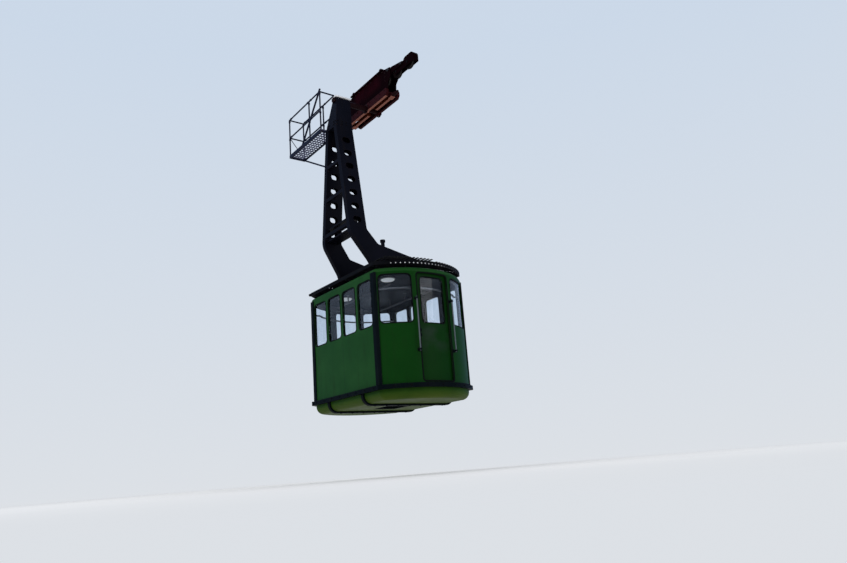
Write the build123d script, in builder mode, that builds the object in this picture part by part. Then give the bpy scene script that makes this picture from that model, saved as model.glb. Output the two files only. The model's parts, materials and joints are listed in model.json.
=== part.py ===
from build123d import *
import math
import os

# Cable car cabin with its hanger and its eight-wheel carriage, all in millimetres.
# The origin is the centre of the track rope under the middle of the carriage.
# X runs along the rope towards the uphill end, Z is up, the hanger's upright stands on the -Y side.

# Track rope and track wheels
rope_radius = 22.0
wheel_tread_radius = 112.0
wheel_groove_depth = 5.0
wheel_liner_inner_radius = 90.0
wheel_flange_radius = 134.0
wheel_flange_bevel = 8.0
wheel_half_gauge = 22.0
wheel_disc_thickness = 9.0
wheel_spigot_wall = 10.0
wheel_hub_radius = 46.0
wheel_hub_width = 76.0
wheel_axle_radius = 20.0
wheel_bore_clearance = 0.3
wheel_joint_gap = 0.3
wheel_spacing = 420.0
wheels_per_side = 4
wheel_axle_z = rope_radius + wheel_tread_radius

# Rockers and equalizers of the carriage
rocker_plate_thickness = 12.0
rocker_inner_y = 44.0
rocker_end_radius = 62.0
rocker_foot_reach = 20.0
rocker_pin_radius = 24.0
rocker_pin_z = 205.0
rocker_pin_half_height = 40.0
equalizer_inner_y = 62.0
equalizer_plate_thickness = 16.0
equalizer_end_reach = 50.0
equalizer_below_pin = 36.0
equalizer_above_pin = 30.0
equalizer_crown_half_length = 80.0
equalizer_crown = 40.0
equalizer_pin_radius = 28.0
equalizer_pin_z = 272.0
pin_head_length = 10.0
pin_play = 0.3
pin_fit = 0.2

# End hoods over the outermost wheels
hood_half_length = 180.0
hood_beyond_axle = 30.0
hood_plate_thickness = 8.0
hood_above_flange = 18.0
hood_bottom_z = 62.0
hood_corner_radius = 95.0

# Carriage frame
frame_plate_inner_y = 98.0
frame_plate_thickness = 14.0
frame_top_z = 345.0
frame_top_half_length = 700.0
frame_ear_half_length = 905.0
frame_ear_top_z = 302.0
frame_ear_bottom_z = 100.0
frame_waist_half_length = 800.0
frame_waist_z = 0.0
frame_bottom_half_length = 780.0
frame_bottom_z = -200.0
frame_tube_radius = 30.0
frame_tube_places = [(300.0, -110.0), (640.0, -110.0), (420.0, 310.0)]
cover_half_length = 640.0
cover_half_width = 150.0
cover_height = 48.0
cover_wall = 6.0
cover_edge_radius = 24.0
lug_x = 560.0
lug_radius = 60.0
lug_half_width = 120.0
lug_rise = 38.0

# Twin lower beams with the keel between them, haul rope sockets and pivot
beam_width = 58.0
beam_height = 165.0
beam_web = 12.0
beam_flange = 16.0
beam_top_z = -150.0
beam_half_length = 760.0
beam_nose_length = 50.0
beam_nose_drop = 60.0
beam_nose_bevel = 24.0
beam_end_block = 60.0
keel_half_width = 29.0
keel_height = 76.0
cross_plate_x = [150.0, 450.0, 750.0]
cross_plate_thickness = 12.0
cross_plate_rise = 16.0
haul_block_length = 120.0
haul_block_half_size = 52.0
haul_socket_radius = 42.0
haul_socket_mouth_radius = 28.0
haul_socket_length = 175.0
haul_socket_shoulder = 10.0
haul_bore_radius = 14.5
haul_bore_depth = 130.0
pivot_z = -265.0
pivot_radius = 46.0
pivot_clearance = 0.3
pivot_collar_radius = 60.0
pivot_bearing_radius = 68.0
pivot_bearing_gap = 5.0
pivot_end_collar = 24.0
pivot_cap_radius = 58.0
pivot_cap_thickness = 18.0

# Hanger head and legs: levels are heights above the cabin's floor rail
rail_z = -6515.0
head_top = 6312.0
head_joint = 5550.0
head_outer_y_top = -945.0
head_inner_y_top = -615.0
head_top_half_length = 75.0
leg_outer_y = -1078.0
leg_inner_y = -690.0
leg_half_depth = 55.0
leg_web = 8.0
leg_flange = 12.0
leg_top_offset = 56.0
leg_top_trim = 30.0
leg_foot_trim = 60.0
leg_splay_height = 6300.0
leg_splay = 0.1428
head_wall = 12.0
head_top_radius = 48.0
hub_radius = 66.0
hub_side_reach = 10.0
hub_outer_reach = 24.0
leg_hole_length = 190.0
leg_hole_height = 140.0
leg_hole_pitch = 304.0
leg_hole_lowest = 3385.0
leg_hole_count = 7
leg_bend_radius = 90.0
leg_outer_bend_radius = 360.0
# Inner edge of a leg from the head down to the foot's toe, then its outer edge back up: (y, level)
leg_inner_path = [(leg_inner_y, 3200.0), (-475.0, 2906.0), (620.0, 2641.0)]
leg_toe_y = 660.0
leg_toe_level = 2560.0
leg_foot_level = 2204.0
leg_outer_path = [(-560.0, leg_foot_level), (-720.0, 2565.0), (leg_outer_y, 3105.0)]
foot_plate_thickness = 22.0
foot_plate_half_width = 150.0
foot_plate_margin = 45.0
foot_bolt_radius = 15.0
foot_bolt_height = 24.0
foot_bolt_pitch = 260.0
foot_bolt_margin = 40.0
foot_bolt_x = 122.0
rung_levels = [4750.0, 4050.0, 3300.0]
rung_height = 70.0
rung_depth = 60.0
rung_inset = 32.0
tie_levels = [3440.0, 3200.0]
tie_thickness = 30.0
tie_outer_inset = 48.0
tie_inner_inset = 70.0
vent_y = -330.0
vent_height = 160.0
vent_radius = 38.0
vent_cap_radius = 52.0
vent_cap_height = 46.0
vent_foot_level = 2850.0
vent_sink = 30.0

# Working platform beside the head
platform_floor_level = 5600.0
platform_far_x = -1700.0
platform_outer_y = -1190.0
platform_inner_y = -810.0
platform_bar = 30.0
platform_grate_height = 26.0
platform_grate_bar = 5.0
platform_grate_lines = 7
platform_grate_rows = 17
platform_toe_height = 42.0
platform_toe_thickness = 4.0
platform_top_rail = 920.0
platform_mid_rail = 470.0
platform_tube = 16.0
platform_post_x = [-1680.0, -730.0, -240.0]
platform_stay_foot_x = -1100.0
platform_stay_rise = 60.0
platform_stay_tube = 20.0
brace_foot_level = 4800.0
brace_tube = 18.0
brace_pad = 96.0
brace_pad_thickness = 12.0

# Cabin body: plan with two flat sides and two bowed ends
side_half_length = 1205.0
half_width = 1028.0
bow_depth = 435.0
bow_radius = (half_width ** 2 + bow_depth ** 2) / (2 * bow_depth)
bow_centre_x = side_half_length + bow_depth - bow_radius
wall = 40.0
plan_corner = 40.0
wall_bottom = 40.0
wall_top = 2100.0
strip_on_side = 98.0
strip_on_bow = 44.0
strip_proud = 20.0
strip_region_margin = 47.0

# Windows
pane_thickness = 6.0
pane_gap = 0.3
side_window_pitch = 566.0
side_window_width = 478.0
side_window_radius = 75.0
window_bottom = 1132.0
side_window_top = 2005.0
corner_window_post = 100.0
corner_window_margin = 27.5
corner_window_top = 2045.0
corner_window_radius = 85.0
door_window_stile = 85.0
door_window_top = 2005.0
door_window_radius = 75.0
pane_stock_margin = 40.0
cut_reach = 260.0

# Doors
door_opening_half_width = 356.0
door_opening_top = 2070.0
door_opening_radius = 60.0
door_lap = 40.0
door_recess = 45.0
door_thickness = 35.0
door_bottom = 52.0
door_shoe_inset = 100.0
door_shoe_half_length = 57.5
door_top = 2086.0
sill_top = 64.0
guide_gap = 7.0
guide_thickness = 12.0
guide_low_top = 62.0
guide_high_bottom = 2030.0
guide_beyond_leaf = 25.0
guide_end_gap = 20.0
door_knob_radius = 14.0
door_knob_length = 30.0
door_knob_sink = 5.0
door_knob_inset = 30.0
door_knob_level = 950.0

# Roof, deck and lamp
roof_top = 2182.0
roof_ceiling = 2142.0
roof_edge_radius = 78.0
deck_gap = 56.0
deck_rim_height = 68.0
deck_rim_thickness = 26.0
deck_rim_out = 6.0
slat_thickness = 14.0
slat_width = 36.0
slat_pitch = 78.0
slat_overhang = 6.0
low_slat_y0 = 130.0
low_slat_count = 12
batten_height = 30.0
walkway_y0 = -948.0
walkway_slat_count = 13
walkway_overhang = 15.0
walkway_end_radius = 2530.0
deck_foot_gap = 18.0
deck_leg_lean = 110.0
bearer_width = 40.0
bearer_middle_x = 200.0
bearer_end_x = 1180.0
bearer_outer_x = 1440.0
deck_post_width = 46.0
deck_post_y = [0.0, 480.0, 900.0]
lamp_x = 800.0
lamp_y = -440.0
lamp_radius = 130.0
lamp_depth = 34.0

# Floor, belly, bumper rail and skids
floor_top = 20.0
floor_bottom = -30.0
rail_half_height = 40.0
rail_proud = 48.0
rail_knob_radius = 62.0
rail_knob_half_height = 40.0
belly_inset = 14.0
belly_bottom = -222.0
belly_edge_radius = 150.0
belly_corner = 155.0
belly_wall = 14.0
skid_x = 620.0
skid_width = 70.0
skid_thickness = 36.0
skid_corner_radius = 150.0
hatch_half_length = 300.0
hatch_half_width = 280.0
hatch_lid_gap = 6.0
hatch_rest_gap = 5.0
hatch_pin_radius = 6.0
hatch_pin_length = 36.0
hatch_lid_thickness = 24.0
hatch_frame = 30.0
hatch_hinge_radius = 12.0

# Handrails
rail_bar_radius = 13.0
rail_bar_beside_door = 37.5
rail_bar_out = 60.0
rail_bar_bottom = 600.0
rail_bar_top = 1600.0
rail_foot_radius = 20.0
rail_foot_inset = 28.0
rail_foot_cap = 5.0
inner_rail_radius = 14.0
inner_rail_inset = 150.0
inner_rail_level = 1810.0
inner_rail_end_x = 1143.0
ceiling_bar_y = 520.0
ceiling_bar_level = 1980.0
ceiling_bar_half_length = 1000.0
ceiling_bar_x = [-560.0, 0.0, 560.0]

os.makedirs("parts", exist_ok=True)


def level(height):
    return rail_z + height


def splay_at(height):
    return leg_top_offset + leg_splay * (leg_splay_height - height)


def outline(inset, corner=plan_corner):
    half = half_width - inset
    radius = bow_radius - inset
    end_x = bow_centre_x + math.sqrt(radius ** 2 - half ** 2)
    with BuildSketch() as shape:
        with BuildLine():
            ThreePointArc((end_x, -half), (bow_centre_x + radius, 0), (end_x, half))
            Line((end_x, half), (-end_x, half))
            ThreePointArc((-end_x, half), (-bow_centre_x - radius, 0), (-end_x, -half))
            Line((-end_x, -half), (end_x, -half))
        make_face()
        fillet(shape.vertices(), corner)
    return shape.sketch


def bow_point(angle, inset=0.0, end=1):
    radius = bow_radius - inset
    turn = math.radians(angle)
    return (end * (bow_centre_x + radius * math.cos(turn)), end * radius * math.sin(turn))


def sector(inner_inset, outer_inset, start, stop, end=1):
    middle = (start + stop) / 2
    with BuildSketch() as shape:
        with BuildLine():
            outer = ThreePointArc(bow_point(start, outer_inset, end), bow_point(middle, outer_inset, end),
                                  bow_point(stop, outer_inset, end))
            inner = ThreePointArc(bow_point(start, inner_inset, end), bow_point(middle, inner_inset, end),
                                  bow_point(stop, inner_inset, end))
            Line(outer @ 0, inner @ 0)
            Line(outer @ 1, inner @ 1)
        make_face()
    return shape.sketch


def bow_plane(angle, height, end=1):
    x, y = bow_point(angle, 0.0, end)
    turn = math.radians(angle)
    return Plane(origin=(x, y, level(height)), x_dir=(-end * math.sin(turn), end * math.cos(turn), 0),
                 z_dir=(end * math.cos(turn), end * math.sin(turn), 0))


def bow_arc(length):
    return math.degrees(length / bow_radius)


bow_end_angle = math.degrees(math.asin(half_width / bow_radius))
strip_end_angle = bow_end_angle - bow_arc(strip_on_bow)
door_opening_angle = math.degrees(math.asin(door_opening_half_width / bow_radius))
door_leaf_angle = door_opening_angle + bow_arc(door_lap)
door_window_half_angle = door_opening_angle - bow_arc(door_window_stile)
door_shoe_angle = door_leaf_angle - bow_arc(door_shoe_inset)
door_shoe_half_angle = bow_arc(door_shoe_half_length)
door_knob_angle = door_opening_angle - bow_arc(door_knob_inset)
rail_bar_angle = door_opening_angle + bow_arc(rail_bar_beside_door)
corner_window_start = door_opening_angle + bow_arc(corner_window_post)
corner_window_end = strip_end_angle - bow_arc(corner_window_margin)
side_window_x = [side_window_pitch * (i - 1.5) for i in range(4)]
side_window_middle = (window_bottom + side_window_top) / 2
side_window_height = side_window_top - window_bottom
corner_window_angle = (corner_window_start + corner_window_end) / 2
corner_window_half_angle = (corner_window_end - corner_window_start) / 2
corner_window_middle = (window_bottom + corner_window_top) / 2
corner_window_height = corner_window_top - window_bottom
corner_window_width = 2 * bow_radius * math.sin(math.radians(corner_window_half_angle))
door_window_middle = (window_bottom + door_window_top) / 2
door_window_height = door_window_top - window_bottom
door_window_width = 2 * (bow_radius - door_recess) * math.sin(math.radians(door_window_half_angle))
strip_side_x = side_half_length - strip_on_side
strip_slope = math.tan(math.radians(strip_end_angle))
region_reach = half_width + strip_region_margin
corners = [(1, 1), (1, -1), (-1, 1), (-1, -1)]

# Side walls, each a full panel between two corner posts with four windows cut
with BuildPart() as side_walls:
    with BuildSketch(Plane.XY.offset(level(wall_bottom))):
        for side in (1, -1):
            with Locations((0, side * (half_width - wall / 2))):
                Rectangle(2 * strip_side_x, wall)
    extrude(amount=wall_top - wall_bottom)
    with BuildSketch(Plane.XZ.offset(-half_width - wall)):
        with Locations(*[(x, level(side_window_middle)) for x in side_window_x]):
            RectangleRounded(side_window_width, side_window_height, side_window_radius)
    extrude(amount=2 * (half_width + wall), mode=Mode.SUBTRACT)
side_walls.part.label = "side_walls"
export_step(side_walls.part, "parts/side_walls.step")

# Bowed end panels with the arched door opening and the bent corner windows cut
with BuildPart() as end_panels:
    with BuildSketch(Plane.XY.offset(level(wall_bottom))):
        for end in (1, -1):
            add(sector(wall, 0.0, -strip_end_angle, strip_end_angle, end))
    extrude(amount=wall_top - wall_bottom)
    for end in (1, -1):
        with BuildSketch(bow_plane(0.0, (sill_top + door_opening_top) / 2, end)):
            RectangleRounded(2 * door_opening_half_width, door_opening_top - sill_top, door_opening_radius)
        extrude(amount=cut_reach, both=True, mode=Mode.SUBTRACT)
        for turn in (1, -1):
            with BuildSketch(bow_plane(turn * corner_window_angle, corner_window_middle, end)):
                RectangleRounded(corner_window_width, corner_window_height, corner_window_radius)
            extrude(amount=cut_reach / 2, both=True, mode=Mode.SUBTRACT)
end_panels.part.label = "end_panels"
export_step(end_panels.part, "parts/end_panels.step")

# Black corner posts at the crease between side and bow
with BuildPart() as corner_posts:
    with BuildSketch(Plane.XY.offset(level(wall_bottom))):
        add(outline(-strip_proud))
        add(outline(wall), mode=Mode.SUBTRACT)
    extrude(amount=wall_top - wall_bottom)
    with BuildSketch(Plane.XY.offset(level(wall_bottom))):
        for sx, sy in corners:
            with BuildLine():
                Polyline([(sx * strip_side_x, sy * (strip_side_x - bow_centre_x) * strip_slope),
                          (sx * strip_side_x, sy * region_reach),
                          (sx * (bow_centre_x + region_reach / strip_slope), sy * region_reach)], close=True)
            make_face()
    extrude(amount=wall_top - wall_bottom, mode=Mode.INTERSECT)
corner_posts.part.label = "corner_posts"
export_step(corner_posts.part, "parts/corner_posts.step")

# Guides that hold each door against the wall, low and high
with BuildPart() as door_guides:
    guide_outer = door_recess + door_thickness + guide_gap
    guide_start_angle = -door_leaf_angle - bow_arc(guide_beyond_leaf)
    guide_end_angle = math.degrees(math.asin((half_width - wall - guide_end_gap) / (bow_radius - guide_outer)))
    with BuildSketch(Plane.XY.offset(level(floor_top))):
        for end in (1, -1):
            add(sector(guide_outer + guide_thickness, guide_outer, guide_start_angle, guide_end_angle, end))
    extrude(amount=guide_low_top - floor_top)
    with BuildSketch(Plane.XY.offset(level(guide_high_bottom))):
        for end in (1, -1):
            add(sector(guide_outer + guide_thickness, guide_outer, guide_start_angle, guide_end_angle, end))
    extrude(amount=roof_ceiling - guide_high_bottom)
door_guides.part.label = "door_guides"
export_step(door_guides.part, "parts/door_guides.step")

# Window panes: eight flat ones in the sides and four bent ones in the corners
with BuildPart() as window_panes:
    for side in (1, -1):
        with BuildSketch(Plane.XZ.offset(-side * (half_width - wall / 2) - pane_thickness / 2)):
            with Locations(*[(x, level(side_window_middle)) for x in side_window_x]):
                RectangleRounded(side_window_width - 2 * pane_gap, side_window_height - 2 * pane_gap,
                                 side_window_radius - pane_gap)
        extrude(amount=pane_thickness)
    for end in (1, -1):
        for turn in (1, -1):
            with BuildPart(mode=Mode.PRIVATE) as bent:
                with BuildSketch(Plane.XY.offset(level(window_bottom))):
                    stock = corner_window_half_angle + bow_arc(pane_stock_margin)
                    add(sector(wall / 2 + pane_thickness / 2, wall / 2 - pane_thickness / 2,
                               turn * corner_window_angle - stock, turn * corner_window_angle + stock, end))
                extrude(amount=corner_window_height)
                with BuildSketch(bow_plane(turn * corner_window_angle, corner_window_middle, end)):
                    RectangleRounded(corner_window_width - 2 * pane_gap, corner_window_height - 2 * pane_gap,
                                     corner_window_radius - pane_gap)
                extrude(amount=cut_reach / 2, both=True, mode=Mode.INTERSECT)
            add(bent.part)
window_panes.part.label = "window_panes"
export_step(window_panes.part, "parts/window_panes.step")


def door_leaf(end):
    with BuildPart() as leaf:
        with BuildSketch(Plane.XY.offset(level(door_bottom))):
            add(sector(door_recess + door_thickness, door_recess, -door_leaf_angle, door_leaf_angle, end))
        extrude(amount=door_top - door_bottom)
        with BuildSketch(Plane.XY.offset(level(floor_top + pin_play))):
            for turn in (1, -1):
                add(sector(door_recess + door_thickness, door_recess, turn * door_shoe_angle - door_shoe_half_angle,
                           turn * door_shoe_angle + door_shoe_half_angle, end))
        extrude(amount=door_bottom - floor_top - pin_play)
        with BuildSketch(bow_plane(0.0, door_window_middle, end)):
            RectangleRounded(door_window_width, door_window_height, door_window_radius)
        extrude(amount=cut_reach / 2, both=True, mode=Mode.SUBTRACT)
        knob = bow_plane(-door_knob_angle, door_knob_level, end).offset(-door_recess - door_knob_sink)
        with Locations(knob):
            Cylinder(door_knob_radius, door_knob_length, align=(Align.CENTER, Align.CENTER, Align.MIN))
    return leaf.part


def door_pane(end):
    middle = door_recess + door_thickness / 2
    stock = door_window_half_angle + bow_arc(pane_stock_margin)
    with BuildPart() as pane:
        with BuildSketch(Plane.XY.offset(level(window_bottom))):
            add(sector(middle + pane_thickness / 2, middle - pane_thickness / 2, -stock, stock, end))
        extrude(amount=door_window_height)
        with BuildSketch(bow_plane(0.0, door_window_middle, end)):
            RectangleRounded(door_window_width - 2 * pane_gap, door_window_height - 2 * pane_gap,
                             door_window_radius - pane_gap)
        extrude(amount=cut_reach / 2, both=True, mode=Mode.INTERSECT)
    return pane.part


# Sliding end doors, curved to run along the bow
with BuildPart() as uphill_door:
    add(door_leaf(1))
uphill_door.part.label = "uphill_door"
export_step(uphill_door.part, "parts/uphill_door.step")

with BuildPart() as uphill_door_pane:
    add(door_pane(1))
uphill_door_pane.part.label = "uphill_door_pane"
export_step(uphill_door_pane.part, "parts/uphill_door_pane.step")

with BuildPart() as downhill_door:
    add(door_leaf(-1))
downhill_door.part.label = "downhill_door"
export_step(downhill_door.part, "parts/downhill_door.step")

with BuildPart() as downhill_door_pane:
    add(door_pane(-1))
downhill_door_pane.part.label = "downhill_door_pane"
export_step(downhill_door_pane.part, "parts/downhill_door_pane.step")

# Roof pan with its rounded shoulder, hollow underneath
with BuildPart() as roof_pan:
    with BuildSketch(Plane.XY.offset(level(wall_top))):
        add(outline(0.0))
    extrude(amount=roof_top - wall_top)
    fillet(roof_pan.edges().group_by(Axis.Z)[-1], roof_edge_radius)
    with BuildSketch(Plane.XY.offset(level(wall_top))):
        add(outline(wall))
    extrude(amount=roof_ceiling - wall_top, mode=Mode.SUBTRACT)
roof_pan.part.label = "roof_pan"
export_step(roof_pan.part, "parts/roof_pan.step")

foot_x = splay_at(leg_foot_level)
foot_clear_x = foot_plate_half_width + deck_foot_gap
foot_clear_y0 = leg_outer_path[0][0] - foot_plate_margin - deck_foot_gap - deck_leg_lean
foot_clear_y1 = leg_toe_y + foot_plate_margin + deck_foot_gap
bearer_x = [bearer_middle_x, foot_x - foot_clear_x - bearer_width / 2, foot_x + foot_clear_x + bearer_width / 2,
            bearer_end_x, bearer_outer_x]
deck_rim_bottom = roof_top + deck_gap
deck_rim_top = deck_rim_bottom + deck_rim_height
walkway_y1 = walkway_y0 + slat_pitch * (walkway_slat_count - 1) + slat_width
walkway_level = deck_rim_top + batten_height
walkway_half_length = bow_centre_x + bow_radius + walkway_overhang

# Deck frame: bent rim, cross bearers, battens of the walkway and short posts down to the roof
with BuildPart() as deck_frame:
    with BuildSketch(Plane.XY.offset(level(deck_rim_bottom))):
        add(outline(-deck_rim_out))
        add(outline(-deck_rim_out + deck_rim_thickness), mode=Mode.SUBTRACT)
    extrude(amount=deck_rim_height)
    with BuildPart(mode=Mode.PRIVATE) as bearers:
        with BuildSketch(Plane.XY.offset(level(deck_rim_bottom))):
            with Locations(*[(s * x, 0) for x in bearer_x for s in (1, -1)]):
                Rectangle(bearer_width, 2 * half_width)
        extrude(amount=deck_rim_height)
        with BuildSketch(Plane.XY.offset(level(deck_rim_bottom))):
            add(outline(deck_rim_thickness / 2 - deck_rim_out))
        extrude(amount=deck_rim_height, mode=Mode.INTERSECT)
    add(bearers.part)
    with BuildSketch(Plane.XY.offset(level(deck_rim_top))):
        with Locations(*[(s * x, (walkway_y0 + walkway_y1) / 2) for x in bearer_x for s in (1, -1)]):
            Rectangle(bearer_width, walkway_y1 - walkway_y0)
    extrude(amount=batten_height)
    with BuildSketch(Plane.XY.offset(level(roof_top))):
        with Locations(*[(s * x, t * y) for x in bearer_x for y in deck_post_y for s in (1, -1) for t in (1, -1)
                         if x < bearer_end_x or y < deck_post_y[-1]]):
            Rectangle(deck_post_width, deck_post_width)
    extrude(amount=deck_gap)
deck_frame.part.label = "deck_frame"
export_step(deck_frame.part, "parts/deck_frame.step")

# Lengthwise slats: the raised walkway round the hanger's feet and low slats on the other side
with BuildPart() as deck_slats:
    with BuildPart(mode=Mode.PRIVATE) as low_slats:
        with BuildSketch(Plane.XY.offset(level(deck_rim_top))):
            with Locations(*[(0, low_slat_y0 + slat_pitch * i) for i in range(low_slat_count)]):
                Rectangle(4 * half_width, slat_width)
        extrude(amount=slat_thickness)
        with BuildSketch(Plane.XY.offset(level(deck_rim_top))):
            add(outline(-slat_overhang))
        extrude(amount=slat_thickness, mode=Mode.INTERSECT)
    with BuildPart(mode=Mode.PRIVATE) as walkway:
        with BuildSketch(Plane.XY.offset(level(walkway_level))):
            with Locations(*[(0, walkway_y0 + slat_width / 2 + slat_pitch * i) for i in range(walkway_slat_count)]):
                Rectangle(4 * half_width, slat_width)
        extrude(amount=slat_thickness)
        for end in (1, -1):
            with BuildSketch(Plane.XY.offset(level(walkway_level))):
                with Locations((end * (walkway_half_length - walkway_end_radius), 0)):
                    Circle(walkway_end_radius)
            extrude(amount=slat_thickness, mode=Mode.INTERSECT)
    add(low_slats.part)
    add(walkway.part)
    with BuildSketch(Plane.XY.offset(level(deck_rim_top))):
        with Locations(*[(s * foot_x, (foot_clear_y0 + foot_clear_y1) / 2) for s in (1, -1)]):
            Rectangle(2 * foot_clear_x, foot_clear_y1 - foot_clear_y0)
    extrude(amount=batten_height + slat_thickness, mode=Mode.SUBTRACT)
deck_slats.part.label = "deck_slats"
export_step(deck_slats.part, "parts/deck_slats.step")

# Oval lamps under the ceiling
with BuildPart() as ceiling_lamps:
    with BuildSketch(Plane.XY.offset(level(roof_ceiling))):
        with Locations((lamp_x, lamp_y), (-lamp_x, lamp_y)):
            Circle(lamp_radius)
    extrude(amount=-lamp_depth)
    fillet(ceiling_lamps.edges().group_by(Axis.Z)[0], lamp_depth / 2)
ceiling_lamps.part.label = "ceiling_lamps"
export_step(ceiling_lamps.part, "parts/ceiling_lamps.step")

hatch_hinge_x = -hatch_half_length + hatch_hinge_radius + hatch_lid_gap
hatch_hinge_level = floor_top - hatch_lid_thickness / 2

# Floor with its hatch opening and the hatch's two hinge pins
with BuildPart() as floor_plate:
    with BuildSketch(Plane.XY.offset(level(floor_bottom))):
        add(outline(wall))
        Rectangle(2 * hatch_half_length, 2 * hatch_half_width, mode=Mode.SUBTRACT)
    extrude(amount=floor_top - floor_bottom)
    for side in (1, -1):
        with Locations((hatch_hinge_x, side * (hatch_half_width - hatch_pin_length / 2), level(hatch_hinge_level))):
            Cylinder(hatch_pin_radius, hatch_pin_length, rotation=(90, 0, 0))
floor_plate.part.label = "floor_plate"
export_step(floor_plate.part, "parts/floor_plate.step")

# Bumper rail around the foot of the walls, with a rounded knob at each corner
with BuildPart() as bumper_rail:
    with BuildSketch(Plane.XY.offset(level(-rail_half_height))):
        add(outline(-rail_proud))
        add(outline(wall), mode=Mode.SUBTRACT)
    extrude(amount=2 * rail_half_height)
    with BuildSketch(Plane.XY.offset(level(-rail_knob_half_height))):
        with Locations(*[(sx * side_half_length, sy * half_width) for sx, sy in corners]):
            Circle(rail_knob_radius)
    extrude(amount=2 * rail_knob_half_height)
    with BuildSketch(Plane.XY.offset(level(-rail_knob_half_height))):
        add(outline(wall))
    extrude(amount=2 * rail_knob_half_height, mode=Mode.SUBTRACT)
bumper_rail.part.label = "bumper_rail"
export_step(bumper_rail.part, "parts/bumper_rail.step")

# Belly tub under the floor, rounded below and hollow
with BuildPart() as belly_tub:
    with BuildSketch(Plane.XY.offset(level(belly_bottom))):
        add(outline(belly_inset, belly_corner))
    extrude(amount=-rail_half_height - belly_bottom)
    fillet(belly_tub.edges().group_by(Axis.Z)[0], belly_edge_radius)
    with BuildPart(mode=Mode.PRIVATE) as room:
        with BuildSketch(Plane.XY.offset(level(belly_bottom + belly_wall))):
            add(outline(belly_inset + belly_wall, belly_corner - belly_wall))
        extrude(amount=-rail_half_height - belly_bottom - belly_wall)
        fillet(room.edges().group_by(Axis.Z)[0], belly_edge_radius - belly_wall)
    add(room.part, mode=Mode.SUBTRACT)
    with BuildSketch(Plane.XY.offset(level(belly_bottom))):
        Rectangle(2 * hatch_half_length, 2 * hatch_half_width)
    extrude(amount=belly_wall, mode=Mode.SUBTRACT)
belly_tub.part.label = "belly_tub"
export_step(belly_tub.part, "parts/belly_tub.step")

# Square trunk of the floor hatch, from the belly's skin up to the floor
with BuildPart() as hatch_trunk:
    with BuildSketch(Plane.XY.offset(level(belly_bottom))):
        Rectangle(2 * hatch_half_length, 2 * hatch_half_width)
        Rectangle(2 * (hatch_half_length - hatch_frame), 2 * (hatch_half_width - hatch_frame), mode=Mode.SUBTRACT)
    extrude(amount=floor_top - hatch_lid_thickness - hatch_rest_gap - belly_bottom)
hatch_trunk.part.label = "hatch_trunk"
export_step(hatch_trunk.part, "parts/hatch_trunk.step")

# Hatch lid, hinged along its -X edge and opening up into the cabin
with BuildPart() as hatch_lid:
    with BuildSketch(Plane.XY.offset(level(floor_top - hatch_lid_thickness))):
        with Locations(((hatch_hinge_x + hatch_half_length - hatch_lid_gap) / 2, 0)):
            Rectangle(hatch_half_length - hatch_lid_gap - hatch_hinge_x, 2 * (hatch_half_width - hatch_lid_gap))
    extrude(amount=hatch_lid_thickness)
    with BuildSketch(Plane.XZ.offset(-(hatch_half_width - hatch_lid_gap))):
        with Locations((hatch_hinge_x, level(hatch_hinge_level))):
            Circle(hatch_hinge_radius)
    extrude(amount=2 * (hatch_half_width - hatch_lid_gap))
    for side in (1, -1):
        with Locations((hatch_hinge_x, side * (hatch_half_width - hatch_pin_length / 2), level(hatch_hinge_level))):
            Cylinder(hatch_pin_radius + pin_play, hatch_pin_length + pin_play, rotation=(90, 0, 0), mode=Mode.SUBTRACT)
hatch_lid.part.label = "hatch_lid"
export_step(hatch_lid.part, "parts/hatch_lid.step")

# Two black straps that wrap the belly from rail to rail
with BuildPart() as belly_skids:
    for sign in (1, -1):
        with BuildSketch(Plane.YZ.offset(sign * skid_x - skid_width / 2)):
            with BuildLine():
                outer_y = half_width - belly_inset + skid_thickness
                outer_z = level(belly_bottom - skid_thickness)
                top_z = level(-rail_half_height)
                r = belly_edge_radius + skid_thickness
                Line((-outer_y, top_z), (-outer_y, outer_z + r))
                RadiusArc((-outer_y, outer_z + r), (-outer_y + r, outer_z), -r)
                Line((-outer_y + r, outer_z), (outer_y - r, outer_z))
                RadiusArc((outer_y - r, outer_z), (outer_y, outer_z + r), -r)
                Line((outer_y, outer_z + r), (outer_y, top_z))
                q = belly_edge_radius
                Line((outer_y, top_z), (outer_y - skid_thickness, top_z))
                Line((outer_y - skid_thickness, top_z), (outer_y - skid_thickness, outer_z + r))
                RadiusArc((outer_y - skid_thickness, outer_z + r), (outer_y - r, outer_z + skid_thickness), q)
                Line((outer_y - r, outer_z + skid_thickness), (-outer_y + r, outer_z + skid_thickness))
                RadiusArc((-outer_y + r, outer_z + skid_thickness), (-outer_y + skid_thickness, outer_z + r), q)
                Line((-outer_y + skid_thickness, outer_z + r), (-outer_y + skid_thickness, top_z))
                Line((-outer_y + skid_thickness, top_z), (-outer_y, top_z))
            make_face()
        extrude(amount=skid_width)
belly_skids.part.label = "belly_skids"
export_step(belly_skids.part, "parts/belly_skids.step")

# Handrails outside, one each side of each door, and the brackets that hold them
with BuildPart() as door_handrails:
    for end in (1, -1):
        for turn in (1, -1):
            x, y = bow_point(turn * rail_bar_angle, -rail_bar_out, end)
            with Locations((x, y, level(rail_bar_bottom))):
                Cylinder(rail_bar_radius, rail_bar_top - rail_bar_bottom,
                         align=(Align.CENTER, Align.CENTER, Align.MIN))
door_handrails.part.label = "door_handrails"
export_step(door_handrails.part, "parts/door_handrails.step")

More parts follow.
